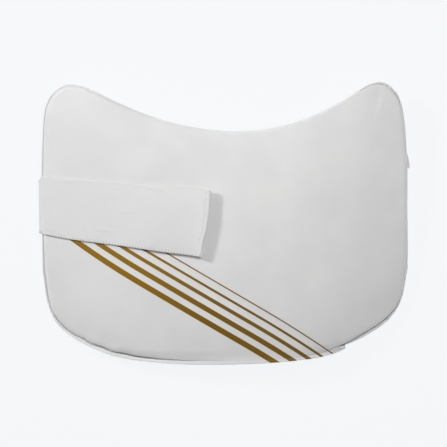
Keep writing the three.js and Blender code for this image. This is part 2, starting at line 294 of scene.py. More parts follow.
    @staticmethod
    def bevel(piece: bpy.types.Object, width: float) -> None:
        """Rounds the piece's sharp edges.

        Args:
            piece: The piece.
            width: How wide the rounding is.
        """
        edge = piece.modifiers.new("edge", "BEVEL")
        edge.width = width
        edge.segments = Bench.ROUNDING_STEPS
        edge.limit_method = "ANGLE"
        edge.angle_limit = Bench.FLAT_ENOUGH
        Bench.apply(piece, edge)

    @staticmethod
    def thicken(piece: bpy.types.Object, thickness: float, rounding: float) -> None:
        """Gives a flat sheet its thickness on both sides of its middle, and rounds its edges.

        Args:
            piece: The sheet.
            thickness: Its whole thickness.
            rounding: Radius of its edges.
        """
        wall = piece.modifiers.new("thickness", "SOLIDIFY")
        wall.thickness = thickness
        wall.offset = 0.0
        wall.use_even_offset = True
        Bench.apply(piece, wall)
        Bench.bevel(piece, rounding)
        bpy.ops.object.shade_smooth()

    @staticmethod
    def surface(piece: bpy.types.Object) -> BVHTree:
        """Gives a piece's surface, for finding points on it."""
        faces = [tuple(face.vertices) for face in piece.data.polygons]
        return BVHTree.FromPolygons(Bench.points(piece).tolist(), faces)


class Graph:
    """A material's nodes, with short calls for the ones that the finishes use."""

    # Ranges of noise that are spread out into a soft pattern and into a clear one
    SOFT = (0.2, 0.8)
    CLEAR = (0.3, 0.7)
    CELL_SMOOTHNESS = 0.4

    def __init__(self, name: str, roughness: float) -> None:
        """Starts a material with one shader.

        Args:
            name: Name of the material.
            roughness: The shader's roughness where nothing else drives it.
        """
        self.material = bpy.data.materials.new(name)
        self.material.use_nodes = True
        self.nodes = self.material.node_tree.nodes
        self.links = self.material.node_tree.links
        self.shader = self.nodes["Principled BSDF"]
        self.shader.inputs["Roughness"].default_value = roughness

    def give(self, socket: Socket, value: Feed) -> None:
        """Links an output to a socket, or sets the socket's own value.

        Args:
            socket: The socket.
            value: The output or the value.
        """
        if isinstance(value, Socket):
            self.links.new(value, socket)
        else:
            socket.default_value = value

    def shade(self, name: str, value: Feed) -> None:
        """Feeds one of the shader's sockets."""
        self.give(self.shader.inputs[name], value)

    def coordinates(self, output: str) -> Socket:
        """Gives the piece's own Object or UV coordinates."""
        return self.nodes.new("ShaderNodeTexCoord").outputs[output]

    def split(self, vector: Socket) -> list[Socket]:
        """Splits a vector.

        Args:
            vector: The vector.

        Returns:
            Its parts along X, Y and Z.
        """
        node = self.nodes.new("ShaderNodeSeparateXYZ")
        self.give(node.inputs[0], vector)
        return list(node.outputs)

    def scaled(self, vector: Socket, scale: Triple) -> Socket:
        """Scales a vector along its three axes.

        Args:
            vector: The vector.
            scale: The factor along each axis.

        Returns:
            The scaled vector.
        """
        node = self.nodes.new("ShaderNodeMapping")
        self.give(node.inputs["Vector"], vector)
        node.inputs["Scale"].default_value = scale
        return node.outputs[0]

    def math(self, operation: str, first: Feed, second: Feed = 0.0) -> Socket:
        """Does one sum on one or two values.

        Args:
            operation: Name of the sum.
            first: The first value.
            second: The second value, if the sum takes one.

        Returns:
            The result.
        """
        node = self.nodes.new("ShaderNodeMath")
        node.operation = operation
        self.give(node.inputs[0], first)
        self.give(node.inputs[1], second)
        return node.outputs[0]

    def dot(self, vector: Socket, way: Triple) -> Socket:
        """Measures how far a vector goes along a fixed way.

        Args:
            vector: The vector.
            way: The way, one long.

        Returns:
            The length along it.
        """
        node = self.nodes.new("ShaderNodeVectorMath")
        node.operation = "DOT_PRODUCT"
        self.give(node.inputs[0], vector)
        node.inputs[1].default_value = way
        return node.outputs["Value"]

    def spread(self, value: Feed, low: float, high: float, to_low: float = 0.0,
               to_high: float = 1.0) -> Socket:
        """Eases a value from one range to another.

        Args:
            value: The value.
            low: Where the first range starts.
            high: Where it ends.
            to_low: Where the second range starts.
            to_high: Where it ends.

        Returns:
            The eased value.
        """
        node = self.nodes.new("ShaderNodeMapRange")
        node.interpolation_type = "SMOOTHSTEP"
        for socket, number in zip(node.inputs[1:5], (low, high, to_low, to_high)):
            socket.default_value = number
        self.give(node.inputs["Value"], value)
        return node.outputs["Result"]

    def noise(self, vector: Socket, size: float, detail: float = 2.0, roughness: float = 0.5) -> Socket:
        """Makes soft noise.

        Args:
            vector: The place.
            size: Size of its patches, in metres.
            detail: How many finer layers it has.
            roughness: How strong those are.

        Returns:
            The noise, from 0 to 1.
        """
        node = self.nodes.new("ShaderNodeTexNoise")
        self.give(node.inputs["Vector"], vector)
        node.inputs["Scale"].default_value = 1.0 / size
        node.inputs["Detail"].default_value = detail
        node.inputs["Roughness"].default_value = roughness
        return node.outputs["Fac"]

    def cells(self, vector: Socket, size: float) -> Socket:
        """Makes rounded cells.

        Args:
            vector: The place.
            size: Size of the cells, in metres.

        Returns:
            The distance from the nearest cell's middle.
        """
        node = self.nodes.new("ShaderNodeTexVoronoi")
        node.feature = "SMOOTH_F1"
        self.give(node.inputs["Vector"], vector)
        node.inputs["Scale"].default_value = 1.0 / size
        node.inputs["Smoothness"].default_value = Graph.CELL_SMOOTHNESS
        return node.outputs["Distance"]

    def wave(self, value: Socket, pitch: float, phase: Feed = 0.0) -> Socket:
        """Makes a wave.

        Args:
            value: The place along it.
            pitch: Its pitch, in metres.
            phase: Where it starts, as an angle.

        Returns:
            The wave, from 0 to 1.
        """
        turns = self.math("MULTIPLY_ADD", value, math.tau / pitch)
        self.give(turns.node.inputs[2], phase)
        sine = self.math("SINE", turns)
        wave = self.math("MULTIPLY_ADD", sine, 0.5)
        wave.node.inputs[2].default_value = 0.5
        return wave

    def mix(self, share: Feed, first: Feed, second: Feed) -> Socket:
        """Mixes two colours.

        Args:
            share: Share of the second colour.
            first: The first colour.
            second: The second colour.

        Returns:
            The mixed colour.
        """
        node = self.nodes.new("ShaderNodeMix")
        node.data_type = "RGBA"
        self.give(node.inputs[0], share)
        for socket, colour in zip(node.inputs[6:8], (first, second)):
            self.give(socket, colour if isinstance(colour, Socket) else (*colour, 1.0))
        return node.outputs[2]

    def bump(self, height: Socket, depth: float, under: Socket | None = None) -> Socket:
        """Raises the surface by a height from 0 to 1.

        Args:
            height: The height.
            depth: How far 1 stands out, in metres.
            under: The normal of a coarser bump under it, if any.

        Returns:
            The new normal.
        """
        node = self.nodes.new("ShaderNodeBump")
        node.inputs["Distance"].default_value = depth
        self.give(node.inputs["Height"], height)
        if under is not None:
            self.give(node.inputs["Normal"], under)
        return node.outputs["Normal"]


@dataclass(frozen=True)
class Stripes:
    """Slanted printed stripes, which start under the strap and bend: offsets and widths in millimetres."""

    # light and dark: the two ends of the gold's painted sheen, the light end standing in for the key light's
    # reflection; dark is also the deeper tone of the uneven ink
    light: Colour = (0.315, 0.161, 0.001)
    dark: Colour = (0.203, 0.104, 0.001)
    # Where the painted sheen fades from light to dark along the stripes
    painted_sheen_fade: Pair = (-75 * MM, 50 * MM)
    slant: float = math.radians(30.4)
    first: float = -80.7 * MM
    bars: tuple[Pair, ...] = (
        (0.0, 4.85), (9.7, 4.35), (18.6, 3.15), (26.5, 2.1), (33.9, 1.15))
    start: float = -118 * MM
    straight: Pair = (-39 * MM, 65 * MM)
    bends: Pair = (-0.65, 0.57)
    edge: float = 0.12 * MM
    uneven: float = 0.3

    def along(self, graph: Graph, place: Socket) -> Socket:
        """Gives how far along the stripes a place is, in metres."""
        return graph.dot(place, (math.cos(self.slant), -math.sin(self.slant), 0.0))

    def ink(self, graph: Graph, place: Socket, grain: float) -> Socket:
        """Gives the gold with a painted sheen, light at the upper left where the key light's reflection would
        fall and darker along the stripes, and a little uneven in the grain.

        Args:
            graph: The material's nodes.
            place: Object coordinates.
            grain: Size of the grain.

        Returns:
            The colour.
        """
        # Painted sheen: the gold goes from light to dark along the stripes, in place of a reflection of the
        # key light
        gold = graph.mix(graph.spread(self.along(graph, place), *self.painted_sheen_fade), self.light, self.dark)
        worn = graph.spread(graph.noise(place, grain, detail=1.0), *Graph.SOFT, 0.0, self.uneven)
        return graph.mix(worn, gold, self.dark)

    def mask(self, graph: Graph, place: Socket) -> Socket:
        """Gives 1 on a stripe and 0 beside it.

        Args:
            graph: The material's nodes.
            place: Object coordinates.

        Returns:
            The mask.
        """
        across = graph.dot(place, (math.sin(self.slant), math.cos(self.slant), 0.0))
        along = self.along(graph, place)
        before = graph.math("MINIMUM", graph.math("SUBTRACT", along, self.straight[0]), 0.0)
        after = graph.math("MAXIMUM", graph.math("SUBTRACT", along, self.straight[1]), 0.0)
        for past, bend in zip((before, after), self.bends):
            square = graph.math("MULTIPLY", past, past)
            across = graph.math("ADD", across, graph.math("MULTIPLY", square, bend))
        masks = []
        for offset, width in self.bars:
            beside = graph.math("ABSOLUTE", graph.math("SUBTRACT", across, self.first + offset * MM))
            masks.append(graph.spread(beside, width * MM / 2 + self.edge, width * MM / 2 - self.edge))
        whole = masks[0]
        for mask in masks[1:]:
            whole = graph.math("MAXIMUM", whole, mask)
        begun = graph.spread(along, self.start - self.edge, self.start + self.edge)
        return graph.math("MULTIPLY", whole, begun)


@dataclass(frozen=True)
class Leathercloth:
    """White leathercloth with a fine pressed grain and gold printed stripes."""

    name: str = "white_leathercloth"
    light: Colour = (0.815, 0.815, 0.81)
    dark: Colour = (0.775, 0.775, 0.772)
    stripes: Stripes = field(default_factory=Stripes)
    roughness: float = 0.45
    gloss: Pair = (0.38, 0.52)
    gloss_patch: float = 9.5 * MM
    specular: float = 0.4
    patch: float = 38 * MM
    grain: float = 1.1 * MM
    grain_depth: float = 0.05 * MM
    slack: float = 30 * MM
    slack_depth: float = 0.35 * MM

    def material(self) -> bpy.types.Material:
        """Makes the material.

        Returns:
            The material.
        """
        graph = Graph(self.name, self.roughness)
        place = graph.coordinates("Object")
        patches = graph.spread(graph.noise(place, self.patch, detail=3.0), *Graph.CLEAR)
        white = graph.mix(patches, self.light, self.dark)
        mask = self.stripes.mask(graph, place)
        graph.shade("Base Color", graph.mix(mask, white, self.stripes.ink(graph, place, self.grain)))
        shine = graph.noise(place, self.gloss_patch)
        graph.shade("Roughness", graph.spread(shine, *Graph.SOFT, *self.gloss))
        graph.shade("Specular IOR Level", self.specular)
        slack = graph.bump(graph.noise(place, self.slack), self.slack_depth)
        graph.shade("Normal", graph.bump(graph.cells(place, self.grain), self.grain_depth, slack))
        return graph.material


@dataclass(frozen=True)
class BackingCloth:
    """Off-white plain-woven backing cloth."""

    name: str = "backing_cloth"
    light: Colour = (0.74, 0.74, 0.73)
    dark: Colour = (0.60, 0.60, 0.59)
    roughness: float = 0.85
    sheen: float = 0.25
    sheen_roughness: float = 0.5
    thread: float = 0.9 * MM
    depth: float = 0.12 * MM
    slub_threads: int = 6
    slub_stretch: float = 8.0
    slub_heights: Pair = (0.7, 1.0)
    patch: float = 24 * MM
    patch_tones: Pair = (0.8, 1.0)

    def material(self) -> bpy.types.Material:
        """Makes the material.

        Returns:
            The material.
        """
        graph = Graph(self.name, self.roughness)
        place = graph.coordinates("Object")
        along, across, _ = graph.split(place)
        warp, weft = (graph.wave(way, 2 * self.thread) for way in (along, across))
        over = graph.math("ABSOLUTE", graph.math("SUBTRACT", warp, weft))
        stretched = graph.scaled(place, (1.0, self.slub_stretch, 1.0))
        slub = graph.noise(stretched, self.slub_threads * self.thread)
        height = graph.math("MULTIPLY", over, graph.spread(slub, *Graph.SOFT, *self.slub_heights))
        patches = graph.spread(graph.noise(place, self.patch), *Graph.CLEAR, *self.patch_tones)
        # Painted shade: the weave's low places, where threads dip under, are coloured darker, times random
        # pale patches
        hollow_shade_and_patches = graph.math("MULTIPLY", height, patches)
        graph.shade("Base Color", graph.mix(hollow_shade_and_patches, self.dark, self.light))
        graph.shade("Sheen Weight", self.sheen)
        graph.shade("Sheen Roughness", self.sheen_roughness)
        graph.shade("Normal", graph.bump(height, self.depth))
        return graph.material


@dataclass(frozen=True)
class Elastic:
    """White ribbed elastic webbing; its pattern follows the strap's own flat layout, in metres."""

    name: str = "white_elastic"
    light: Colour = (0.82, 0.82, 0.815)
    dark: Colour = (0.745, 0.745, 0.742)
    roughness: float = 0.72
    sheen: float = 0.2
    sheen_roughness: float = 0.4
    rib: float = 1.1 * MM
    pick: float = 0.8 * MM
    pick_heights: Pair = (0.45, 1.0)
    depth: float = 0.06 * MM
    # Height of the ribs below which the grooves get painted shade
    groove_shade_until: float = 0.7
    patch: float = 14 * MM
    patch_range: Pair = (0.25, 0.75)
    patch_tones: Pair = (0.82, 1.0)

    def material(self) -> bpy.types.Material:
        """Makes the material.

        Returns:
            The material.
        """
        graph = Graph(self.name, self.roughness)
        layout = graph.coordinates("UV")
        along, across, _ = graph.split(layout)
        ribs = graph.math("SQRT", graph.wave(across, self.rib))
        line = graph.math("ROUND", graph.math("DIVIDE", across, self.rib))
        picks = graph.wave(along, self.pick, graph.math("MULTIPLY", line, math.pi))
        height = graph.math("MULTIPLY", ribs, graph.spread(picks, 0.0, 1.0, *self.pick_heights))
        worn = graph.noise(layout, self.patch, detail=3.0)
        patches = graph.spread(worn, *self.patch_range, *self.patch_tones)
        # Painted shade: the colour darkens toward the bottom of the ribs' grooves, times random worn patches
        hollow_shade_and_patches = graph.math("MULTIPLY", graph.spread(height, 0.0, self.groove_shade_until), patches)
        graph.shade("Base Color", graph.mix(hollow_shade_and_patches, self.dark, self.light))
        graph.shade("Sheen Weight", self.sheen)
        graph.shade("Sheen Roughness", self.sheen_roughness)
        graph.shade("Normal", graph.bump(height, self.depth))
        return graph.material


@dataclass(frozen=True)
class SewingThread:
    """White twisted polyester thread."""

    name: str = "white_thread"
    light: Colour = (0.80, 0.80, 0.79)
    dark: Colour = (0.55, 0.55, 0.54)
    roughness: float = 0.55
    sheen: float = 0.3
    twist: float = 0.55 * MM
    twist_range: Pair = (0.35, 0.6)
    depth: float = 0.08 * MM

    def material(self) -> bpy.types.Material:
        """Makes the material.

        Returns:
            The material.
        """
        graph = Graph(self.name, self.roughness)
        strands = graph.noise(graph.coordinates("Object"), self.twist, detail=1.0)
        # Painted shade: the colour follows the same noise as the bump, darker where the strands sink
        graph.shade("Base Color", graph.mix(graph.spread(strands, *self.twist_range), self.dark, self.light))
        graph.shade("Sheen Weight", self.sheen)
        graph.shade("Normal", graph.bump(strands, self.depth))
        return graph.material


@dataclass(frozen=True)
class HookTape:
    """White hook tape, a bed of small stiff hooks."""

    name: str = "white_hook_tape"
    light: Colour = (0.78, 0.78, 0.77)
    dark: Colour = (0.5, 0.5, 0.5)
    roughness: float = 0.6
    hook: float = 1.5 * MM
    tip: Pair = (0.55, 0.1)
    depth: float = 0.4 * MM

    def material(self) -> bpy.types.Material:
        """Makes the material.

        Returns:
            The material.
        """
        graph = Graph(self.name, self.roughness)
        tips = graph.spread(graph.cells(graph.coordinates("Object"), self.hook), *self.tip)
        # Painted shade: the colour follows the bump, darker in the low gaps between the hooks
        graph.shade("Base Color", graph.mix(tips, self.dark, self.light))
        graph.shade("Normal", graph.bump(tips, self.depth))
        return graph.material


@dataclass(frozen=True)
class FloorPaper:
    """Pale seamless paper that glows a little, as a lit background does."""

    name: str = "pale_paper"
    colour: Colour = (0.07, 0.07, 0.07)
    roughness: float = 0.9
    glow: Colour = (0.96, 0.98, 1.0)
    strength: float = 0.895

    def material(self) -> bpy.types.Material:
        """Makes the material.

        Returns:
            The material.
        """
        graph = Graph(self.name, self.roughness)
        graph.shade("Base Color", (*self.colour, 1.0))
        graph.shade("Specular IOR Level", 0.0)
        graph.shade("Emission Color", (*self.glow, 1.0))
        graph.shade("Emission Strength", self.strength)
        return graph.material


@dataclass(frozen=True)
class SoftLight:
    """One square studio light that points at the guard."""

    name: str
    place: Triple
    size: float
    power: float

    def hang(self) -> None:
        """Hangs the light in the scene."""
        lamp = bpy.data.lights.new(self.name, "AREA")
        lamp.shape = "SQUARE"
        lamp.size = self.size
        lamp.energy = self.power
        light = Bench.add(self.name, lamp)
        light.location = self.place
        light.rotation_euler = Vector(self.place).to_track_quat("Z", "Y").to_euler()
        light.visible_camera = False


@dataclass
class Studio:
    """The straight-down camera, the soft light from the left and a pale floor."""

    lens: float = 135.0
    sensor: float = 36.0
    frame_pixels: int = 447
    pixel: float = 0.875 * MM
    rim_height: float = 4 * MM
    aim: Pair = (-0.57 * MM, -0.09 * MM)
    floor_size: float = 40.0
    floor_drop: float = 0.3 * MM
    sky: Colour = (0.985, 0.993, 1.0)
    sky_strength: float = 0.06
    lights: tuple[SoftLight, ...] = (
        SoftLight("key_light", (-1.705, 0.852, 1.109), 0.3, 24.2),
        SoftLight("top_box", (0.137, 0.237, 0.752), 0.4, 2.85),
        SoftLight("left_box", (-0.379, 0.379, 0.595), 0.4, 0.45),
        SoftLight("front_fill", (0.0, -1.88, 0.684), 0.8, 5.75),
        SoftLight("right_fill", (1.766, 0.0, 0.939), 0.6, 4.9),
    )

    def set_up(self) -> None:
        """Sets up the camera, the lights and the floor."""
        self.place_camera()
        for light in self.lights:
            light.hang()
        world = bpy.data.worlds.new("soft_sky")
        world.use_nodes = True
        sky = world.node_tree.nodes["Background"]
        sky.inputs["Color"].default_value = (*self.sky, 1.0)
        sky.inputs["Strength"].default_value = self.sky_strength
        bpy.context.scene.world = world
        bpy.context.scene.view_settings.view_transform = "Standard"
        self.lay_floor()

    def place_camera(self) -> None:
        """Hangs the camera above the guard, with the neck at the top of the picture."""
        camera_data = bpy.data.cameras.new("camera")
        camera_data.lens = self.lens
        camera_data.sensor_width = self.sensor
        camera = Bench.add("camera", camera_data)
        distance = self.frame_pixels * self.pixel * self.lens / self.sensor
        camera.location = (*self.aim, self.rim_height + distance)
        bpy.context.scene.camera = camera

    def lay_floor(self) -> None:
        """Lays the floor under the guard."""
        bpy.ops.object.select_all(action="DESELECT")
        bpy.ops.mesh.primitive_plane_add(size=self.floor_size, location=(0.0, 0.0, -self.floor_drop))
        floor = bpy.context.active_object
        floor.name = "floor"
        floor.data.materials.append(FloorPaper().material())


@dataclass
class RimLine:
    """The guard's outline, read from its bound seam, with a length along it and the seam's curved surface."""

    step: float = 1 * MM
    half_width: float = 160 * MM
    upright: float = 0.2
    cell: float = 10 * Bench.MERGE
    blur_steps: int = 4
    aim_steps: int = 3
    curve_powers: tuple[int, ...] = (0, 1, 2, 3, 4, 6)
    points: np.ndarray = field(init=False)
    inward: np.ndarray = field(init=False)
    tree: KDTree = field(init=False)
    curve: np.ndarray = field(init=False)

    def __post_init__(self) -> None:
        """Reads the seam's outer edge and steps along it evenly."""
        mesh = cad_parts["edge_binding"].data
        corners: dict[tuple[int, int], Vector] = {}
        for face in mesh.polygons:
            outward = face.normal.x * face.center.x + face.normal.y * face.center.y
            if abs(face.normal.z) < self.upright and outward > 0:
                for number in face.vertices:
                    point = mesh.vertices[number].co
                    key = (round(point.x / self.cell), round(point.y / self.cell))
                    corners[key] = point if key not in corners else (corners[key] + point) / 2
        loop = np.array(sorted(corners.values(), key=lambda p: math.atan2(p.y, p.x)))
        closed = np.vstack([loop, loop[:1]])
        along = lengths(closed)
        stops = np.linspace(0.0, along[-1], round(along[-1] / self.step), endpoint=False)
        even = read_at(stops, along, closed)
        self.points = np.column_stack([self.blur(part, self.blur_steps) for part in even.T])
        ahead = np.roll(self.points, -self.aim_steps, axis=0) - np.roll(self.points, self.aim_steps, axis=0)
        self.inward = unit(np.column_stack([-ahead[:, 1], ahead[:, 0], np.zeros(len(ahead))]))
        self.tree = KDTree(len(self.points))
        for i, point in enumerate(self.points):
            self.tree.insert((point[0], point[1], 0.0), i)
        self.tree.balance()
        self.curve = np.linalg.lstsq(self.curve_terms(loop), loop[:, 2], rcond=None)[0]

    def curve_terms(self, points: np.ndarray) -> np.ndarray:
        """Gives the terms of the seam's surface, which is curved along X and leans along Y."""
        aside = points[:, 0] / self.half_width
        return np.column_stack([aside ** power for power in self.curve_powers] + [points[:, 1]])

    def seam_height(self, points: np.ndarray) -> np.ndarray:
        """Gives the height of the seam's surface over or under each point."""
        return self.curve_terms(points) @ self.curve

    def nearest(self, point: np.ndarray | Vector) -> tuple[int, float]:
        """Finds the step of the rim that is nearest to a point, and its distance as seen from above."""
        _, i, distance = self.tree.find((point[0], point[1], 0.0))
        return i, distance

    def survey(self, points: np.ndarray) -> tuple[np.ndarray, np.ndarray]:
        """Finds the nearest step and its distance for many points."""
        found = [self.nearest(point) for point in points]
        return np.array([i for i, _ in found]), np.array([distance for _, distance in found])

    def away(self, here: int) -> np.ndarray:
        """Gives the signed length along the rim from one step to each of them."""
        half = len(self.points) / 2
        return ((np.arange(len(self.points)) - here + half) % (2 * half) - half) * self.step

    def blur(self, values: np.ndarray, reach: int) -> np.ndarray:
        """Smooths values along the rim.

        Args:
            values: One value for each step of the rim.
            reach: How many steps to each side are mixed in.

        Returns:
            The smoothed values.
        """
        window = np.hanning(2 * reach + 3)[1:-1]
        wrapped = np.concatenate([values[-reach:], values, values[:reach]])
        return np.convolve(wrapped, window / window.sum(), mode="valid")


@dataclass
class SmoothSurface:
    """One smooth surface laid through many heights, as powers of the places across and along the guard."""

    reach: float
    powers: tuple[tuple[int, int], ...] = tuple((i, j) for i in range(7) for j in range(5) if i + j < 7)
    weights: np.ndarray = field(init=False)

    def terms(self, points: np.ndarray) -> np.ndarray:
        """Gives the powers over some points."""
        aside, along = points[:, 0] / self.reach, points[:, 1] / self.reach
        return np.column_stack([aside ** i * along ** j for i, j in self.powers])

    def fit(self, points: np.ndarray, heights: np.ndarray) -> None:
        """Lays the surface through some heights."""
        self.weights = np.linalg.lstsq(self.terms(points), heights, rcond=None)[0]

    def heights(self, points: np.ndarray) -> np.ndarray:
        """Gives the surface's height at some points."""
        return self.terms(points) @ self.weights


@dataclass(frozen=True)
class RimPlace:
    """What the edge is like at one place: sizes in millimetres."""

    x: float
    y: float
    low: float
    roll: float
    groove: float
    thin: float = 0.0
    inset: float = 0.0
    lift: float = 0.0


@dataclass(frozen=True)
class Pinch:
    """A short gather where the pad's edge is drawn in from the seam: sizes in millimetres."""

    x: float
    y: float
    depth: float
    reach: float


@dataclass
class RimShape:
    """How the pad's edge changes round the rim: full and creased at the corners, eased down at the waist."""

    rim: RimLine
    places: tuple[RimPlace, ...] = (
        RimPlace(-162.0, 16.0, low=3.0, roll=3.0, groove=0.2),
        RimPlace(-159.4, -30.0, low=3.0, roll=3.0, groove=0.4, inset=0.4),
        RimPlace(-156.8, -49.5, low=3.0, roll=3.0, groove=0.4, inset=0.6),
        RimPlace(-149.0, -80.0, low=3.0, roll=3.2, groove=0.4, inset=0.2),
        RimPlace(-139.5, -92.5, low=3.0, roll=3.8, groove=1.5, thin=0.5),
        RimPlace(-108.6, -110.8, low=3.0, roll=4.6, groove=2.0, thin=1.0),
        RimPlace(-73.6, -118.6, low=2.6, roll=6.5, groove=1.5, thin=0.8, lift=0.6),
        RimPlace(-47.4, -120.8, low=1.8, roll=8.5, groove=0.6, thin=2.0, lift=1.2),
        RimPlace(-21.0, -122.0, low=1.1, roll=9.0, groove=0.0, thin=2.4, lift=1.6),
        RimPlace(10.0, -122.5, low=1.1, roll=10.0, groove=0.0, thin=2.2, lift=4.2),
        RimPlace(40.0, -121.5, low=1.1, roll=10.0, groove=0.0, thin=2.2, lift=4.4),
        RimPlace(75.0, -117.0, low=1.3, roll=9.0, groove=0.0, thin=2.4, lift=2.6),
        RimPlace(92.0, -113.5, low=1.8, roll=6.0, groove=0.4, thin=2.4, inset=1.0, lift=1.0),
        RimPlace(100.0, -110.0, low=2.6, roll=4.0, groove=1.4, thin=2.0, inset=2.0),
        RimPlace(107.0, -107.0, low=3.0, roll=3.6, groove=2.6, thin=2.0, inset=1.2),
        RimPlace(118.0, -101.0, low=3.0, roll=3.6, groove=2.5, thin=2.2, inset=2.0),
        RimPlace(136.4, -86.0, low=3.0, roll=3.6, groove=1.8, thin=2.2, inset=1.3),
        RimPlace(152.0, -58.0, low=4.0, roll=3.0, groove=0.4, thin=1.0),
        RimPlace(158.2, 3.0, low=3.0, roll=2.6, groove=0.2),
        RimPlace(155.6, 90.0, low=6.0, roll=2.8, groove=0.4, thin=-0.8, inset=0.2),
        RimPlace(147.0, 115.0, low=4.0, roll=2.6, groove=1.4, thin=-0.8, inset=0.4),
        RimPlace(134.6, 122.8, low=5.0, roll=2.6, groove=0.8),
        RimPlace(105.7, 109.7, low=8.0, roll=3.0, groove=0.0, inset=-0.8),
        RimPlace(5.0, 80.0, low=6.5, roll=3.0, groove=0.0, inset=-0.6),
        RimPlace(-100.0, 109.7, low=3.0, roll=3.6, groove=0.2),
        RimPlace(-136.6, 121.0, low=3.0, roll=3.0, groove=0.2),
        RimPlace(-158.5, 95.0, low=3.0, roll=3.0, groove=0.2),
    )
    lift_reach: float = 24 * MM
    pinches: tuple[Pinch, ...] = (
        Pinch(-123.5, -102.5, depth=0.9, reach=5.0),
        Pinch(-107.0, -111.5, depth=0.7, reach=5.5),
        Pinch(-87.0, -116.5, depth=0.6, reach=6.5),
    )
    lap: Pair = (105.8 * MM, -107.6 * MM)
    step_in: float = 2.9 * MM
    step_fade: float = 16 * MM
    blur_steps: int = 9
    past_lap: np.ndarray = field(init=False)
    stepped: np.ndarray = field(init=False)
    low: np.ndarray = field(init=False)
    roll: np.ndarray = field(init=False)
    groove: np.ndarray = field(init=False)
    thin: np.ndarray = field(init=False)
    inset: np.ndarray = field(init=False)
    lift: np.ndarray = field(init=False)

    def __post_init__(self) -> None:
        """Spreads the places, the gathers and the step past the lap along the rim."""
        count = len(self.rim.points)
        at = [self.rim.nearest((place.x * MM, place.y * MM))[0] for place in self.places]
        for name in ("low", "roll", "groove", "thin", "inset", "lift"):
            values = [getattr(place, name) * MM for place in self.places]
            spread = np.interp(np.arange(count), at, values, period=count)
            setattr(self, name, self.rim.blur(spread, self.blur_steps))
        for pinch in self.pinches:
            middle, _ = self.rim.nearest((pinch.x * MM, pinch.y * MM))
            self.inset += pinch.depth * MM * bell(self.rim.away(middle) / (pinch.reach * MM))
        lap_step, _ = self.rim.nearest(self.lap)
        self.past_lap = self.rim.away(lap_step)
        self.stepped = (self.past_lap >= 0) * self.step_in * np.exp(-np.abs(self.past_lap) / self.step_fade)

    def lifted(self, steps: np.ndarray, distances: np.ndarray) -> np.ndarray:
        """Gives how far the edge's lift raises points at these distances from these steps of the rim."""
        return self.lift[steps] * bell(distances / self.lift_reach)


@dataclass(frozen=True)
class Puckers:
    """Small gathers along the seam, strongest where the cover turns the lower corners."""

    depth: float = 0.55 * MM
    pitch: float = 13 * MM
    reach: float = 7 * MM
    corner: Pair = (-108 * MM, -110 * MM)
    corner_reach: float = 58 * MM
    corner_gain: float = 1.6
    least: float = 0.4
    fine_share: float = 0.5
    finer: float = 2.3
    shift: Triple = (7.0, 3.0, 0.0)

    def gathers(self, rim: RimLine) -> np.ndarray:
        """Gives how far the seam is drawn in round the rim.

        Args:
            rim: The rim.

        Returns:
            One value for each step of the rim, from about -1 to 1.
        """
        corner_step, _ = rim.nearest(self.corner)
        near = bell(rim.away(corner_step) / self.corner_reach)
        ripples = []
        for place in rim.points:
            point = Vector(place) / self.pitch
            fine = noise.noise(point * self.finer + Vector(self.shift))
            ripples.append(noise.noise(point) + self.fine_share * fine)
        return np.array(ripples) * (self.least + self.corner_gain * near)

    def draw_in(self, piece: bpy.types.Object, rim: RimLine) -> None:
        """Draws the surface in along its normals near the seam.

        Args:
            piece: The piece.
            rim: The rim.
        """
        points = Bench.points(piece)
        steps, distances = rim.survey(points)
        depths = self.depth * self.gathers(rim)[steps] * np.exp(-distances / self.reach)
        Bench.move_points(piece, points - Bench.normals(piece) * depths[:, None])


@dataclass(frozen=True)
class Filling:
    """How foam fills out a cover, run as cloth under pressure."""

    pressure: float
    furthest: float
    frames: int = 20
    stiffness: float = 18.0
    bending: float = 2.0
    quality: int = 6

    def swell(self, piece: bpy.types.Object, held: list[int]) -> None:
        """Lets the cover swell, no further than the foam does.

        Args:
            piece: The closed cover.
            held: The points that the seam holds still.
        """
        start = Bench.points(piece)
        pins = piece.vertex_groups.new(name="sewn")
        pins.add(held, 1.0, "REPLACE")
        cloth = piece.modifiers.new("filling", "CLOTH")
        settings = cloth.settings
        settings.quality = self.quality
        settings.tension_stiffness = self.stiffness
        settings.compression_stiffness = self.stiffness
        settings.shear_stiffness = self.stiffness / 2
        settings.bending_stiffness = self.bending
        settings.use_pressure = True
        settings.uniform_pressure_force = self.pressure
        settings.effector_weights.gravity = 0.0
        settings.vertex_group_mass = pins.name
        cloth.collision_settings.use_collision = False
        for number in range(1, self.frames + 1):
            bpy.context.scene.frame_set(number)
        Bench.apply(piece, cloth)
        bpy.context.scene.frame_set(1)
        piece.vertex_groups.clear()
        moved = Bench.points(piece) - start
        length = np.maximum(np.linalg.norm(moved, axis=1), Bench.MERGE)
        LOG.info("%s swells %.1f mm at most before the cap", piece.name, length.max() / MM)
        Bench.move_points(piece, start + moved * np.minimum(1.0, self.furthest / length)[:, None])


def declare(piece: bpy.types.Object, slot: Slot, material: bpy.types.Material, *nodes: str) -> None:
    """Dresses a finished piece, fixes it to the guard and reports it.

    Args:
        piece: The piece.
        slot: The record's slot that it belongs to; not used.
        material: Its finish.
        *nodes: The CAD nodes that it stands for.
    """
    piece.data.materials.clear()
    piece.data.materials.append(material)
    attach(piece, BODY)
    if nodes:
        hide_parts(*nodes)
    LOG.info("%s: %d faces", piece.name, len(piece.data.polygons))


@dataclass(frozen=True)
class Dent:
    """A soft hollow pressed into the face."""

    x: float
    y: float
    depth: float
    reach: float


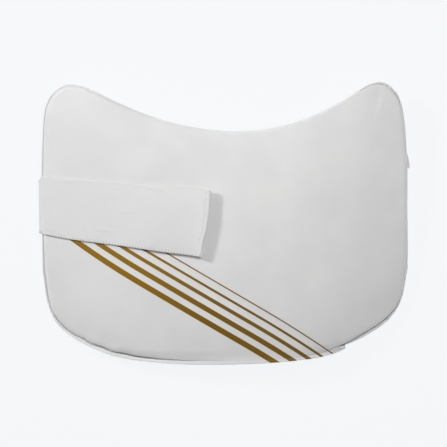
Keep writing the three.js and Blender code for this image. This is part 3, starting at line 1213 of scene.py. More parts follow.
@dataclass
class FaceCover:
    """The foam pad in its striped leathercloth cover."""

    rim: RimLine
    shape: RimShape
    filling: Filling = Filling(pressure=1.2, furthest=1.2 * MM)
    puckers: Puckers = Puckers()
    seam_rise: float = 3.4 * MM
    bulge: float = 3 * MM
    eased_below: float = 2 * MM
    wall_from: float = 0.2 * MM
    roll_end: float = 15 * MM
    inset_fade: float = 6 * MM
    taper: float = 26 * MM
    wave: float = 0.3 * MM
    wave_pitch: float = 62 * MM
    upper_facing: float = 0.02
    under_facing: float = -0.2
    lip_search: int = 4
    lip_blur: int = 6
    dents: tuple[Dent, ...] = (
        Dent(100 * MM, -105.5 * MM, 1.5 * MM, 6 * MM),
        Dent(-121 * MM, -96 * MM, 0.8 * MM, 9 * MM),
        Dent(-99 * MM, -104 * MM, 0.9 * MM, 8 * MM),
    )
    show: np.ndarray = field(init=False)

    def build(self) -> bpy.types.Object:
        """Builds the cover: rounded, filled, shaped at its edge and gathered at the seam.

        Returns:
            The cover.
        """
        cover = Bench.copy_of_node("face_pad", "face_cover")
        Bench.subdivide(cover, 1)
        self.filling.swell(cover, self.sewn_points(cover))
        Bench.subdivide(cover, 1)
        self.shape_edge(cover)
        self.puckers.draw_in(cover, self.rim)
        return cover

    def sewn_points(self, cover: bpy.types.Object) -> list[int]:
        """Finds the points of the underside and the seam.

        Args:
            cover: The cover.

        Returns:
            The points' numbers.
        """
        points = Bench.points(cover)
        _, distances = self.rim.survey(points)
        near_rim = distances < self.roll_end
        near_seam = near_rim & (points[:, 2] < self.rim.seam_height(points) + self.seam_rise)
        underside = Bench.normals(cover)[:, 2] < self.under_facing
        return np.flatnonzero(near_seam | underside).tolist()

    def lip_width(self, steps: np.ndarray, distances: np.ndarray) -> np.ndarray:
        """Measures how much of the lip shows outside the pad.

        Args:
            steps: The step of the rim nearest to each point of the cover.
            distances: How far each point is from it.

        Returns:
            The width at each step of the rim.
        """
        least = np.full(len(self.rim.points), self.roll_end)
        np.minimum.at(least, steps, distances)
        around = [np.roll(least, shift) for shift in range(-self.lip_search, self.lip_search + 1)]
        return self.rim.blur(np.min(around, axis=0), self.lip_blur)

    def shape_edge(self, cover: bpy.types.Object) -> None:
        """Lays the face on one smooth surface, rolls its edge over the seam and presses in its hollows.

        Args:
            cover: The cover.
        """
        points = Bench.points(cover)
        upper = Bench.normals(cover)[:, 2] > self.upper_facing
        steps, distances = self.rim.survey(points)
        self.show = self.lip_width(steps, distances)
        rise = points[:, 2] - self.rim.seam_height(points)
        past_edge = np.maximum(distances - self.show[steps], 0.0)
        drawn = self.shape.inset[steps] * np.exp(-past_edge / self.inset_fade)
        points += self.rim.inward[steps] * drawn[:, None]
        distances += drawn
        self.show += self.shape.inset
        seam = self.rim.seam_height(points)
        points[:, 2] = seam + rise
        inside = upper & (distances > self.roll_end)
        smooth = SmoothSurface(self.rim.half_width)
        smooth.fit(points[inside], rise[inside])
        full = smooth.heights(points) + self.slack(points)
        full -= self.shape.thin[steps] * bell(distances / self.taper)
        low = self.shape.low[steps]
        part = np.clip((distances - self.show[steps]) / self.shape.roll[steps], 0.0, 1.0)
        round_edge = np.sqrt(1 - (1 - part) ** 2)
        eased = np.clip((self.bulge - low) / self.eased_below, 0.0, 1.0)
        edge = round_edge + (np.sin(part * math.pi / 2) - round_edge) * eased
        wall = ~upper & (rise > self.wall_from) & (distances < self.roll_end)
        lifted = self.shape.lifted(steps, distances)
        foot = low + lifted
        side = np.where(wall, np.minimum(rise / self.bulge, 1.0) * low, rise)
        rise = np.where(upper, foot + (full - foot) * edge, side + lifted)
        points[:, 2] = seam + rise
        Bench.move_points(cover, points)

    def slack(self, points: np.ndarray) -> np.ndarray:
        """Gives the cover's slight slack over the foam, and its hollows.

        Args:
            points: The cover's points.

        Returns:
            The height of each point.
        """
        heights = np.array([self.wave * noise.noise(Vector(point) / self.wave_pitch) for point in points])
        for dent in self.dents:
            away = np.hypot(points[:, 0] - dent.x, points[:, 1] - dent.y)
            heights -= dent.depth * bell(away / dent.reach)
        return heights

    def make(self, leathercloth: bpy.types.Material) -> bpy.types.Object:
        """Args:
            leathercloth: Its finish.

        Returns:
            The cover.
        """
        cover = self.build()
        declare(cover, Slot.COVER, leathercloth, "face_pad")
        return cover


@dataclass
class BackLining:
    """The plain padded lining behind the guard."""

    rim: RimLine
    shape: RimShape
    margin: Pair = (5 * MM, 13 * MM)
    flat: float = 0.5
    relax_from: float = 22 * MM
    relax_rounds: int = 40
    groove_reach: float = 11 * MM
    puckers: Puckers = Puckers(depth=0.4 * MM, reach=9 * MM, corner_gain=0.6)

    def lay(self, lining: bpy.types.Object) -> None:
        """Lays both sides of the lining on smooth surfaces, and sinks its edge under the crease.

        Args:
            lining: The lining.
        """
        _, distances = self.rim.survey(Bench.points(lining))
        Bench.relax(lining, distances > self.relax_from, self.relax_rounds)
        points = Bench.points(lining)
        steps, distances = self.rim.survey(points)
        rise = points[:, 2] - self.rim.seam_height(points)
        sides = []
        for way in (-1, 1):
            inside = (way * Bench.normals(lining)[:, 2] > self.flat) & (distances > self.margin[1])
            smooth = SmoothSurface(self.rim.half_width)
            smooth.fit(points[inside], rise[inside])
            sides.append(smooth.heights(points))
        back, front = sides
        laid = np.where(np.abs(rise - back) < np.abs(rise - front), back, front)
        share = np.clip((distances - self.margin[0]) / (self.margin[1] - self.margin[0]), 0.0, 1.0)
        points[:, 2] += (laid - rise) * share + self.shape.lifted(steps, distances)
        near = bell(distances / self.groove_reach)
        points[:, 2] -= self.shape.groove[steps] * near
        points += self.rim.inward[steps] * (self.shape.stepped[steps] * near)[:, None]
        Bench.move_points(lining, points)

    def make(self) -> bpy.types.Object:
        """Returns:
            The lining.
        """
        lining = Bench.copy_of_node("back_panel", "back_lining")
        Bench.subdivide(lining, 2)
        self.lay(lining)
        self.puckers.draw_in(lining, self.rim)
        declare(lining, Slot.BACKING, BackingCloth().material(), "back_panel")
        return lining


@dataclass
class SeamEdge:
    """The turned seam all round the rim: a thin lip with a crease beside the pad, lapped at the lower right.

    The rises are shares of its half thickness and of the crease's depth, and its outer points are in
    millimetres and shares of its half thickness.
    """

    rim: RimLine
    shape: RimShape
    show: np.ndarray
    half: float = 0.8 * MM
    width: float = 4.1 * MM
    least_lip: float = 1.25 * MM
    least_height: float = 0.02 * MM
    crease_width: float = 1.5 * MM
    crease_share: float = 0.5
    crease_foot: float = 0.5 * MM
    slope_parts: Pair = (0.25, 0.75)
    floor: float = 6 * MM
    rises: tuple[Pair, ...] = ((0.7, 0.3), (0.8, 1.0), (0.9, 1.0), (1.0, 0.45))
    outer: tuple[Pair, ...] = ((0.2, 0.88), (0.02, 0.55), (0.0, 0.24))
    rim_round: float = 0.5 * MM
    under_in: float = 0.2 * MM
    under_rise: Pair = (0.2, 0.5)
    curl: float = 0.45
    turn_up: float = 0.5 * MM
    top_steps: int = 5
    notch: float = 0.3 * MM
    wave: float = 0.3 * MM
    wave_pitch: float = 16 * MM
    draw_share: float = 0.6
    draw_finer: float = 1.7
    draw_shift: Triple = (3.0, 9.0, 0.0)
    lean_in: float = 0.18
    lap_length: float = 12 * MM
    lap_drop: float = 2.5 * MM
    crumple: float = 3.2 * MM
    crumple_pitch: float = 2.8 * MM
    smooth_rim: float = 1.6 * MM
    rim_folds: float = 0.1

    def section(self, show: float, groove: float) -> np.ndarray:
        """Draws the lip's section: how far in and how high each point is, from its inner top edge round.

        Args:
            show: How much of the lip shows outside the pad.
            groove: Depth of the crease beside the pad.

        Returns:
            One row for each point.
        """
        half = self.half
        crease = max(show, self.least_lip)
        slope = min(self.crease_width, self.crease_share * crease)
        inner = max(self.width, crease + self.floor)
        insets = [inner, crease + self.crease_foot] + [crease - part * slope for part in self.slope_parts]
        top = [(inset, part * half - sunk * groove) for inset, (part, sunk) in zip(insets, self.rises)]
        top += [(inset, half) for inset in np.linspace(crease - slope, self.rim_round, self.top_steps)]
        side = [(inset * MM, rise * half) for inset, rise in self.outer]
        below = [(inset, -rise) for inset, rise in reversed(side)]
        lowest = min(-half, self.under_rise[0] * half - self.under_rise[1] * groove)
        under = [(crease - slope + self.under_in, -half), (inner, lowest)]
        section = np.array(top + side + [(self.notch, 0.0)] + below + under)
        turned_up = self.turn_up * min(1.0, show / self.width) ** 2 + self.curl * groove
        section[:, 1] += turned_up * np.clip(1 - section[:, 0] / crease, 0.0, 1.0)
        return section

    def make(self, leathercloth: bpy.types.Material) -> None:
        """Args:
            leathercloth: Its finish.
        """
        rows = []
        for step, past_lap in enumerate(self.shape.past_lap):
            draw, lift = self.shift(step)
            section = self.section(self.show[step] - draw, self.shape.groove[step])
            section += np.array((draw, lift + self.shape.lift[step]))
            row = self.rim.points[step] + np.outer(section[:, 0], self.rim.inward[step])
            height = section[:, 1] + self.crumpled(row, section[:, 0], past_lap)
            row[:, 2] = np.maximum(self.rim.seam_height(row) + height, self.least_height)
            rows.append(row)
        edge = Bench.hoop("seam_edge", np.array(rows))
        declare(edge, Slot.BINDING, leathercloth, "edge_binding")

    def shift(self, step: int) -> Pair:
        """Gives how far the edge is moved at a step of the rim.

        Args:
            step: The step.

        Returns:
            How far in and how far up.
        """
        here = Vector(self.rim.points[step]) / self.wave_pitch
        lift = self.wave * noise.noise(here)
        finer = noise.noise(here * self.draw_finer + Vector(self.draw_shift))
        draw = self.draw_share * self.wave * finer
        return draw + self.lean_in * self.shape.lift[step] + self.shape.stepped[step], lift

    def crumpled(self, row: np.ndarray, inset: np.ndarray, past_lap: float) -> np.ndarray:
        """Gives how far the flap before the lap is bent down and crumpled.

        Args:
            row: The section's points.
            inset: How far in each of them is.
            past_lap: Length along the rim from the lap to the section.

        Returns:
            The height of each point.
        """
        if past_lap >= 0:
            return np.zeros(len(row))
        near = bell(past_lap / self.lap_length)
        folds = np.array([noise.noise(Vector((x, y, 0.0)) / self.crumple_pitch) for x, y, _ in row])
        folds *= np.clip(inset / self.smooth_rim, self.rim_folds, 1.0)
        return near * (self.crumple * folds - self.lap_drop * np.clip(1 - inset / self.width, 0.0, 1.0))


@dataclass
class Band:
    """A strip cut flat and laid along a route, with its flat layout kept in metres."""

    name: str
    length: float
    width: float
    thickness: float
    along_steps: int
    across_steps: int
    rounding: float = 0.45 * MM

    def lay(self, place: Callable[[float, float], np.ndarray]) -> bpy.types.Object:
        """Lays the strip.

        Args:
            place: Gives the point for a share along the strip and a share across it.

        Returns:
            The strip, with its thickness.
        """
        strip, flat = Bench.grid(self.name, self.along_steps, self.across_steps)
        layout = strip.data.uv_layers.active.data
        for loop in strip.data.loops:
            share = flat[loop.vertex_index]
            layout[loop.index].uv = (share[0] * self.length, share[1] * self.width)
        Bench.move_points(strip, np.array([place(*share) for share in flat]))
        Bench.thicken(strip, self.thickness, self.rounding)
        return strip


@dataclass(frozen=True)
class Fold:
    """A tape folded back on itself: two flat runs, joined by a half turn."""

    run: float
    radius: float

    def length(self) -> float:
        """Gives the tape's whole length."""
        return 2 * self.run + math.pi * self.radius

    def at(self, along: float) -> Pair:
        """Finds a place on the tape.

        Args:
            along: The share along it.

        Returns:
            How far it is past the start of the half turn, and how high above the middle of the fold.
        """
        gone = along * self.length() - self.run
        turn = math.pi * self.radius
        if gone < 0:
            return gone, self.radius
        if gone > turn:
            return turn - gone, -self.radius
        return self.radius * math.sin(gone / self.radius), self.radius * math.cos(gone / self.radius)


@dataclass(frozen=True)
class Wrinkle:
    """A short soft ridge in the webbing: sizes in millimetres, turned by degrees."""

    x: float
    y: float
    length: float
    width: float
    height: float
    turned: float

    def rise(self, points: np.ndarray) -> np.ndarray:
        """Gives how far the ridge stands up.

        Args:
            points: The points.

        Returns:
            The height at each of them.
        """
        angle = math.radians(self.turned)
        aside, along = points[..., 0] / MM - self.x, points[..., 1] / MM - self.y
        length = (aside * math.cos(angle) + along * math.sin(angle)) / self.length
        width = (along * math.cos(angle) - aside * math.sin(angle)) / self.width
        return self.height * MM * np.exp(-length ** 2 - width ** 2)


@dataclass
class StrapRoute:
    """Where the strap's middle goes: behind the guard, round its left edge and over its face."""

    cover: BVHTree
    lining: BVHTree
    thickness: float = 1.5 * MM
    sewn_x: float = 147.0 * MM
    sewn_y: Pair = (26.2 * MM, 76.2 * MM)
    rim_y: Pair = (-8.9 * MM, 40.5 * MM)
    out_x: Pair = (-161.55 * MM, -162.35 * MM)
    turn_radius: float = 2.6 * MM
    roll_x: float = -153.65 * MM
    roll_rise: float = 3 * MM
    lower_edge: tuple[Pair, ...] = (
        (-160.1, -8.9), (-147.2, -11.3), (-133.7, -13.7), (-88.6, -19.3), (-48.8, -24.9), (-20.6, -28.2))
    upper_edge: tuple[Pair, ...] = ((-158.9, 40.5), (-88.6, 34.8), (-12.9, 28.8))
    end_edge: tuple[Pair, ...] = (
        (0.0, -21.2), (0.05, -20.6), (0.19, -19.2), (0.41, -15.9), (0.63, -14.2), (0.84, -13.3), (1.0, -12.8))
    clear: float = 0.8 * MM
    patch_height: float = 2.7 * MM
    patch_rise: Pair = (-90 * MM, -62 * MM)
    end_lift: float = 1.6 * MM
    edge_droop: float = 0.6
    end_flatter: float = 0.7
    rise_from: float = 85 * MM
    sewn_length: float = 12 * MM
    sewn_edge: float = 8 * MM
    sewn_gap: float = 0.2 * MM
    neck_in: Pair = (0.6 * MM, -3.0 * MM)
    neck_fade: float = 1.8
    roll_out: float = 7 * MM
    cast: float = 0.2
    cast_up: float = 0.1
    slack: float = 0.1 * MM
    slack_pitch: Pair = (17 * MM, 24 * MM)
    slack_bias: float = 0.35
    slack_above: float = 12 * MM
    edge_slack: float = 0.25 * MM
    edge_reach: float = 0.09
    wrinkles: tuple[Wrinkle, ...] = (
        Wrinkle(-134.0, 36.8, length=9.0, width=1.2, height=0.45, turned=-4.0),
        Wrinkle(-67.0, 31.2, length=9.0, width=1.1, height=0.4, turned=-9.0),
        Wrinkle(-58.0, 29.6, length=7.0, width=1.1, height=0.3, turned=-5.0),
        Wrinkle(-84.0, 10.4, length=4.0, width=1.6, height=0.3, turned=0.0),
        Wrinkle(-119.0, -3.6, length=1.6, width=4.0, height=0.35, turned=0.0),
        Wrinkle(-102.0, -5.6, length=7.0, width=1.2, height=0.35, turned=-7.0),
        Wrinkle(-117.0, -9.0, length=1.5, width=4.0, height=0.35, turned=8.0),
        Wrinkle(-152.5, -8.6, length=7.0, width=1.1, height=-0.5, turned=-8.0),
    )
    behind_steps: int = 150
    turn_shares: tuple[float, ...] = tuple(np.linspace(0.1, 1.0, 8))
    roll_shares: tuple[float, ...] = tuple(np.linspace(0.06, 1.0, 26))
    face_steps: int = 120
    smoothing: int = 6
    along_steps: int = 420
    across_steps: int = 48
    middle: np.ndarray = field(init=False)
    normals: np.ndarray = field(init=False)

    def __post_init__(self) -> None:
        """Runs the lines that lie side by side across the strap, and evens their steps."""
        shares = np.linspace(0.0, 1.0, self.across_steps + 1)
        self.middle = np.stack([self.even(self.line(share)) for share in shares], axis=1)
        self.normals = self.facing()
        self.middle += self.normals * self.creases()[:, :, None]
        self.normals = self.facing()

    def facing(self) -> np.ndarray:
        """Gives the way out of the strap at each of its points."""
        return unit(np.cross(np.gradient(self.middle, axis=0), np.gradient(self.middle, axis=1)))

    def even(self, line: np.ndarray) -> np.ndarray:
        """Smooths a line a little and steps along it evenly.

        Args:
            line: The line's points.

        Returns:
            The even points.
        """
        for _ in range(self.smoothing):
            line[1:-1] = 0.5 * line[1:-1] + 0.25 * (line[:-2] + line[2:])
        along = lengths(line)
        return read_at(np.linspace(0.0, along[-1], self.along_steps + 1), along, line)

    def line(self, share: float) -> np.ndarray:
        """Gives the strap's middle at one share across it, from its sewn end to its free end."""
        points = self.behind(share) + self.turn(share) + self.over_roll(share) + self.over_face(share)
        return np.array(points)

    def at(self, ends: Pair, share: float) -> float:
        """Gives a value between the strap's lower and upper edge."""
        return ends[0] + (ends[1] - ends[0]) * share

    def face_y(self, x: float, share: float) -> float:
        """Gives the place along Y of a share across the strap, over the face."""
        lower, upper = (np.interp(x / MM, *zip(*edge)) for edge in (self.lower_edge, self.upper_edge))
        return self.at((lower, upper), share) * MM

    def behind(self, share: float) -> list[Triple]:
        """Runs behind the guard, on the floor but for the sewn end, which meets the lining.

        Args:
            share: The share across the strap.

        Returns:
            The points of the strap's middle.
        """
        turn_x = self.at(self.out_x, share) + self.turn_radius
        sewn_from = self.sewn_x - self.sewn_length
        points = []
        for x in np.linspace(self.sewn_x, turn_x, self.behind_steps):
            gone = (self.sewn_x - x) / (self.sewn_x - turn_x)
            y = self.at((self.at(self.sewn_y, share), self.at(self.rim_y, share)), gone)
            z = self.thickness / 2
            if x > self.rise_from:
                under = Vector((min(x, self.sewn_x - self.sewn_edge), y, -self.cast_up))
                hit, _, _, _ = self.lining.ray_cast(under, Vector((0, 0, 1)))
                top = hit.z - self.thickness / 2 - self.sewn_gap
                z += (top - z) * ease_in_out((x - self.rise_from) / (sewn_from - self.rise_from))
            points.append((x, y, z))
        return points

    def turn(self, share: float) -> list[Triple]:
        """Turns up round the left edge.

        Args:
            share: The share across the strap.

        Returns:
            The points of the strap's middle.
        """
        y = self.at(self.rim_y, share)
        narrow = self.at(self.neck_in, share)
        points = []
        for turned in self.turn_shares:
            angle = turned * math.pi / 2
            x = self.at(self.out_x, share) + self.turn_radius * (1 - math.sin(angle))
            z = self.thickness / 2 + self.turn_radius * (1 - math.cos(angle))
            points.append((x, y + narrow * math.sin(angle), z))
        return points

    def over_roll(self, share: float) -> list[Triple]:
        """Goes up and over the rolled edge.

        Args:
            share: The share across the strap.

        Returns:
            The points of the strap's middle.
        """
        off = self.clear + self.thickness / 2
        points = []
        for turned in self.roll_shares:
            angle = turned * math.pi / 2
            out = Vector((-math.cos(angle), 0.0, math.sin(angle)))
            y = self.face_y(self.roll_x + out.x * self.roll_out, share)
            y += self.at(self.neck_in, share) * max(0.0, 1 - turned * self.neck_fade) ** 2
            seam, _, _, _ = self.lining.find_nearest(Vector((self.at(self.out_x, share), y, 0.0)))
            centre = Vector((self.roll_x, y, seam.z + self.roll_rise))
            hit, _, _, _ = self.cover.ray_cast(centre + out * self.cast, -out)
            points.append(tuple(hit + out * off))
        return points

    def over_face(self, share: float) -> list[Triple]:
        """Lies on the face, rises over the hook patch and ends a little lifted.

        Args:
            share: The share across the strap.

        Returns:
            The points of the strap's middle.
        """
        end_x = np.interp(share, *zip(*self.end_edge)) * MM
        points = []
        for part in np.linspace(0.0, 1.0, self.face_steps)[1:]:
            x = self.roll_x + (end_x - self.roll_x) * part
            y = self.face_y(x, share)
            hit, _, _, _ = self.cover.ray_cast(Vector((x, y, self.cast)), Vector((0, 0, -1)))
            points.append((x, y, hit.z + self.clear + self.thickness / 2 + self.lifted(x, end_x, share)))
        return points

    def lifted(self, x: float, end_x: float, share: float) -> float:
        """Gives how far the strap stands off the face for the patch under it.

        Args:
            x: The place along the strap.
            end_x: Where the strap ends.
            share: The share across the strap.

        Returns:
            The height, which is less along the strap's edges, as they hang over the patch.
        """
        _, patch_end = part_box("hook_patch")
        start, full = self.patch_rise
        rise = ease_in_out((x - start) / (full - start))
        end = min(1.0, max(0.0, (x - patch_end.x) / (end_x - patch_end.x)))
        droop = 1 - self.edge_droop * abs(2 * share - 1) ** 3 * (1 - self.end_flatter * end)
        return self.patch_height * rise * droop + self.end_lift * end * end

    def creases(self) -> np.ndarray:
        """Gives the small slack of the webbing over the face, most along its edges, and its wrinkles.

        Returns:
            How far each point stands off, one row for each step along the strap.
        """
        columns = np.arange(self.across_steps + 1)
        to_edge = np.minimum(columns, self.across_steps - columns) / self.across_steps
        slack = self.slack + self.edge_slack * np.exp(-to_edge / self.edge_reach)
        pitches = self.middle[:, :, :2] / np.array(self.slack_pitch)
        ripples = [[noise.noise(Vector((x, y, 0.0))) for x, y in row] for row in pitches]
        heights = slack * (np.array(ripples) + self.slack_bias)
        for wrinkle in self.wrinkles:
            heights += wrinkle.rise(self.middle)
        return heights * (self.middle[:, :, 2] > self.slack_above)

    def place(self, along: float, across: float) -> np.ndarray:
        """Gives the point at a share along the strap and a share across it."""
        return self.middle[round(along * self.along_steps), round(across * self.across_steps)]

    def length(self) -> float:
        """Gives the strap's length along its middle."""
        line = self.middle[:, self.across_steps // 2]
        return float(np.linalg.norm(np.diff(line, axis=0), axis=1).sum())

    def widths(self) -> np.ndarray:
        """Gives the strap's width at each step along it."""
        return np.linalg.norm(np.diff(self.middle, axis=1), axis=2).sum(axis=1)

    def width(self) -> float:
        """Gives the strap's greatest width."""
        return float(self.widths().max())

    def area(self) -> float:
        """Gives the strap's flat area."""
        return float(self.widths().mean() * self.length())


@dataclass(frozen=True)
class Thread:
    """Sewing thread: one spindle-shaped stitch that is modelled once and copied along a seam."""

    radius: float = 0.28 * MM
    sides: int = 6
    rings: int = 6
    blunt: float = 1.35
    thinnest: float = 1e-6
    dips: tuple[float, ...] = (-0.9, 0.25, 0.55, 0.25, -0.9)

    def spindle(self) -> tuple[np.ndarray, list[tuple[int, ...]]]:
        """Models one stitch from a ball: from -1 to 1 along X, with blunt ends.

        Returns:
            Its points and its faces.
        """
        bpy.ops.object.select_all(action="DESELECT")
        bpy.ops.mesh.primitive_uv_sphere_add(segments=self.sides, ring_count=self.rings, radius=1.0)
        ball = bpy.context.active_object
        points = Bench.points(ball)[:, (2, 0, 1)]
        faces = sorted(tuple(face.vertices) for face in ball.data.polygons)
        bpy.data.objects.remove(ball)
        thick = np.linalg.norm(points[:, 1:], axis=1)
        full = np.minimum(1.0, self.blunt * thick)
        points[:, 1:] *= (full / np.maximum(thick, self.thinnest))[:, None]
        return points, faces

    def sew(self, name: str, lines: list[np.ndarray], normals: list[np.ndarray]) -> bpy.types.Object:
        """Bends a stitch along each short line.

        Args:
            name: Name of the row of stitches.
            lines: The middle of each stitch, as a few points.
            normals: The way up at each of those points.

        Returns:
            The row, as one piece.
        """
        stitch, faces = self.spindle()
        all_points = []
        all_faces = []
        for line, up in zip(lines, normals):
            steps = np.linspace(-1.0, 1.0, len(line))
            side = unit(np.cross(up, np.gradient(line, axis=0)))
            middle, aside, above = (read_at(stitch[:, 0], steps, part) for part in (line, side, up))
            start = len(all_points) * len(stitch)
            all_points.append(middle + self.radius * (aside * stitch[:, 1:2] + above * stitch[:, 2:3]))
            all_faces.extend(tuple(start + number for number in face) for face in faces)
        return Bench.from_faces(name, np.vstack(all_points), all_faces)

    def run(self, path: np.ndarray, normals: np.ndarray, pitch: float, gap: float) -> tuple[list, list]:
        """Cuts a path into stitches that dip at both ends.

        Args:
            path: Closely set points on the surface.
            normals: The way up at each of them.
            pitch: Length of one stitch with its gap.
            gap: Room between two stitches.

        Returns:
            The stitches' lines and the way up along them.
        """
        along = lengths(path)
        dips = np.array(self.dips)[:, None] * self.radius
        lines, ups = [], []
        for i in range(int(along[-1] / pitch)):
            stops = np.linspace(i * pitch + gap / 2, (i + 1) * pitch - gap / 2, len(dips))
            up = read_at(stops, along, normals)
            lines.append(read_at(stops, along, path) + up * dips)
            ups.append(up)
        return lines, ups


@dataclass(frozen=True)
class Overcast:
    """The loops of thread over one long edge of the strap: how far in they reach, and their thread."""

    edge: Edge
    reach: Pair
    thread: Thread
    finish: SewingThread
    pitch: float = 2.6 * MM
    off: float = 0.6
    sink: float = 0.3 * MM
    rounding: float = 0.35 * MM
    steps: int = 7
    seed: int = 7


@dataclass
class Strap:
    """The wide elastic strap with its overcast edges, its folded hem, its stitches and its hook patch."""

    cover: bpy.types.Object
    lining: bpy.types.Object
    hem_length: float = 3.7 * MM
    hem_layer: float = 0.7 * MM
    hem_gap: float = 0.1 * MM
    hem_steps: int = 26
    hem_rounding: float = 0.25 * MM
    hem_seam: float = 1.3 * MM
    hem_seam_shares: Pair = (0.02, 0.98)
    hem_pitch: float = 2.9 * MM
    box: Pair = (4 * MM, 26 * MM)
    box_margin: int = 2
    box_steps: int = 40
    box_pitch: float = 3.0 * MM
    stitch_gap: float = 0.5 * MM
    patch_rounding: float = 0.5 * MM
    overcasts: tuple[Overcast, ...] = (
        # The lower edge's loops are grey: painted shade standing in for the shadows between loops of white
        # thread, which is also why they are darker than the upper edge's
        Overcast(Edge.LOWER, (2.4 * MM, 5.2 * MM), Thread(radius=0.25 * MM, sides=5, rings=9),
                 SewingThread("grey_thread_painted_shade", light=(0.62, 0.62, 0.62), dark=(0.42, 0.42, 0.42))),
        Overcast(Edge.UPPER, (0.9 * MM, 1.3 * MM), Thread(radius=0.15 * MM, sides=5, rings=9),
                 SewingThread()),
    )
    seam_thread: Thread = field(default_factory=Thread)
    route: StrapRoute = field(init=False)

    def make(self, elastic: bpy.types.Material) -> None:
        """Args:
            elastic: The webbing's finish.
        """
        thread = SewingThread().material()
        patch = self.make_patch()
        self.route = StrapRoute(Bench.surface(self.cover), Bench.surface(self.lining))
        band = Band("elastic_strap", self.route.length(), self.route.width(), self.route.thickness,
                    self.route.along_steps, self.route.across_steps)
        strap = band.lay(self.route.place)
        declare(strap, Slot.ELASTIC, elastic, "strap")
        hem = self.make_hem()
        declare(hem, Slot.ELASTIC, elastic, "strap_hem")
        for overcast in self.overcasts:
            loops = self.make_loops(overcast)
            declare(loops, Slot.ELASTIC, overcast.finish.material())
        stitches = self.make_stitches()
        declare(stitches, Slot.ELASTIC, thread)
        self.route.width()
        self.route.length()
        self.route.area()

    def make_patch(self) -> bpy.types.Object:
        """Returns:
            The patch.
        """
        patch = Bench.copy_of_node("hook_patch", "hook_patch_pad")
        Bench.bevel(patch, self.patch_rounding)
        declare(patch, Slot.HOOK_TAPE, HookTape().material(), "hook_patch")
        return patch

    def end_frame(self, share: float) -> tuple[np.ndarray, np.ndarray, np.ndarray]:
        """Finds the strap's end at a share across it.

        Args:
            share: The share across the strap.

        Returns:
            The end point, the way on and the way up.
        """
        j = round(share * self.route.across_steps)
        end = self.route.middle[-1, j]
        ahead = end - self.route.middle[-3, j]
        return end, unit(ahead), self.route.normals[-1, j]

    def make_hem(self) -> bpy.types.Object:
        """Folds the hem's tape over the strap's end.

        Returns:
            The hem.
        """
        fold = Fold(self.hem_length, self.route.thickness / 2 + self.hem_gap + self.hem_layer / 2)

        def place(along: float, across: float) -> np.ndarray:
            """Places a point of the folded tape.

            Args:
                along: The share along the tape.
                across: The share across it.

            Returns:
                The point.
            """
            end, ahead, up = self.end_frame(across)
            past, above = fold.at(along)
            return end + ahead * past + up * above

        tape = Band("hem_tape", fold.length(), self.route.width(), self.hem_layer, self.hem_steps,
                    self.route.across_steps, rounding=self.hem_rounding)
        return tape.lay(place)

    def make_loops(self, overcast: Overcast) -> bpy.types.Object:
        """Overcasts one long edge of the strap with small loops of thread.

        Args:
            overcast: The edge and its loops.

        Returns:
            The loops, as one piece.
        """
        route, edge, radius = self.route, overcast.edge, overcast.thread.radius
        inner = -2 if edge is Edge.UPPER else 1
        rim = route.middle[:, edge.value]
        into = unit(route.middle[:, inner] - rim)
        along = lengths(rim)
        half = route.thickness / 2 + overcast.off * radius
        bend = np.linspace(0.0, math.pi, overcast.steps)
        turned = np.concatenate([[0.0], bend, [math.pi]])
        round_edge = overcast.rounding * (1 - np.sin(bend)) - overcast.off * radius * np.sin(bend)
        height = np.concatenate([[half - overcast.sink], half * np.cos(bend), [overcast.sink - half]])
        chance = np.random.default_rng(overcast.seed + edge.value)
        stops = np.arange(overcast.pitch, along[-1] - 2 * overcast.pitch, overcast.pitch)
        rows = (read_at(stops, along, part) for part in (rim, into, route.normals[:, edge.value]))
        lines, ups = [], []
        for point, inward, above in zip(*rows):
            far = overcast.reach[0] + (overcast.reach[1] - overcast.reach[0]) * chance.random() ** 2
            reach = np.concatenate([[far], round_edge, [far]])
            lines.append(point + np.outer(reach, inward) + np.outer(height, above))
            ups.append(np.outer(np.cos(turned), above) - np.outer(np.sin(turned), inward))
        return overcast.thread.sew(f"edge_loops_{edge.name.lower()}", lines, ups)

    def make_stitches(self) -> bpy.types.Object:
        """Sews the hem down and sews the strap's other end to the lining with a crossed box.

        Returns:
            The stitches, as one piece.
        """
        lines, ups = self.hem_row()
        box_lines, box_ups = self.box_rows()
        return self.seam_thread.sew("strap_stitches", lines + box_lines, ups + box_ups)

    def hem_row(self) -> tuple[list, list]:
        """Gives the stitches along the hem's inner edge, on its upper side.

        Returns:
            The stitches' lines and the way up along them.
        """
        shares = np.linspace(*self.hem_seam_shares, self.route.across_steps - 1)
        radius = self.route.thickness / 2 + self.hem_gap + self.hem_layer
        path, up = [], []
        for share in shares:
            end, ahead, above = self.end_frame(share)
            path.append(end - ahead * (self.hem_length - self.hem_seam) + above * radius)
            up.append(above)
        return self.seam_thread.run(np.array(path), np.array(up), self.hem_pitch, self.stitch_gap)

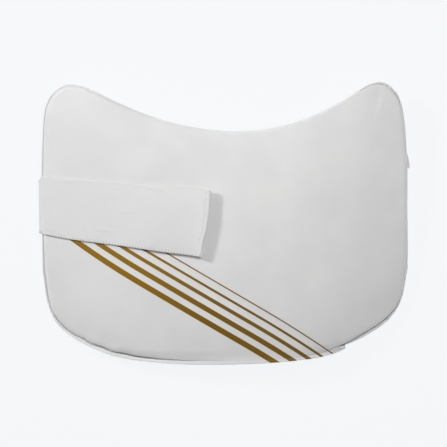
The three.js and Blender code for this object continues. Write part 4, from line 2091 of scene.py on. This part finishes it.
    def box_rows(self) -> tuple[list, list]:
        """Gives the crossed box of stitches on the outside of the sewn end.

        Returns:
            The stitches' lines and the way up along them.
        """
        route = self.route
        spacing = route.length() / route.along_steps
        near, far = (round(place / spacing) for place in self.box)
        low, high = self.box_margin, route.across_steps - self.box_margin
        corners = [(near, low), (near, high), (far, high), (far, low), (near, low), (far, high)]
        lines, ups = [], []
        for start, stop in zip(corners, corners[1:]):
            rows, columns = np.rint(np.linspace(start, stop, self.box_steps)).astype(int).T
            up = route.normals[rows, columns]
            path = route.middle[rows, columns] + up * route.thickness / 2
            more_lines, more_ups = self.seam_thread.run(path, up, self.box_pitch, self.stitch_gap)
            lines += more_lines
            ups += more_ups
        return lines, ups


@dataclass
class SideTab:
    """The small folded tab that shows at the right edge."""

    layer: float = 1.2 * MM
    skew: float = 1.9 * MM
    trim: float = 0.9 * MM
    tuck: float = 9 * MM
    steps: tuple[int, int] = (44, 10)
    rounding: float = 0.35 * MM

    def make(self, elastic: bpy.types.Material) -> None:
        """Args:
            elastic: Its finish.
        """
        low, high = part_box("side_tab")
        radius = (high.z - low.z - self.layer) / 2
        fold = Fold(high.x - low.x - radius - self.layer / 2, radius)
        centre_z = (low.z + high.z) / 2
        width = high.y - low.y - self.trim

        def place(along: float, across: float) -> np.ndarray:
            """Places a point of the folded tape.

            Args:
                along: The share along the tape.
                across: The share across it.

            Returns:
                The point.
            """
            nose = high.x - radius - self.layer / 2 - self.skew * across * across
            past, above = fold.at(along)
            if past < 0:
                start = low.x - self.tuck if above > 0 else low.x
                past *= (nose - start) / fold.run
            return np.array((nose + past, low.y + width * across, centre_z - above))

        band = Band("folded_tab", fold.length(), width, self.layer, *self.steps, rounding=self.rounding)
        declare(band.lay(place), Slot.ELASTIC, elastic, "side_tab")


def main() -> None:
    """Builds the guard piece by piece."""
    logging.basicConfig(level=logging.INFO, format="%(message)s")
    Studio().set_up()
    rim = RimLine()
    leathercloth = Leathercloth().material()
    shape = RimShape(rim)
    face = FaceCover(rim, shape)
    cover = face.make(leathercloth)
    lining = BackLining(rim, shape).make()
    SeamEdge(rim, shape, face.show).make(leathercloth)
    elastic = Elastic().material()
    Strap(cover, lining).make(elastic)
    SideTab().make(elastic)


if __name__ == "__main__":
    main()
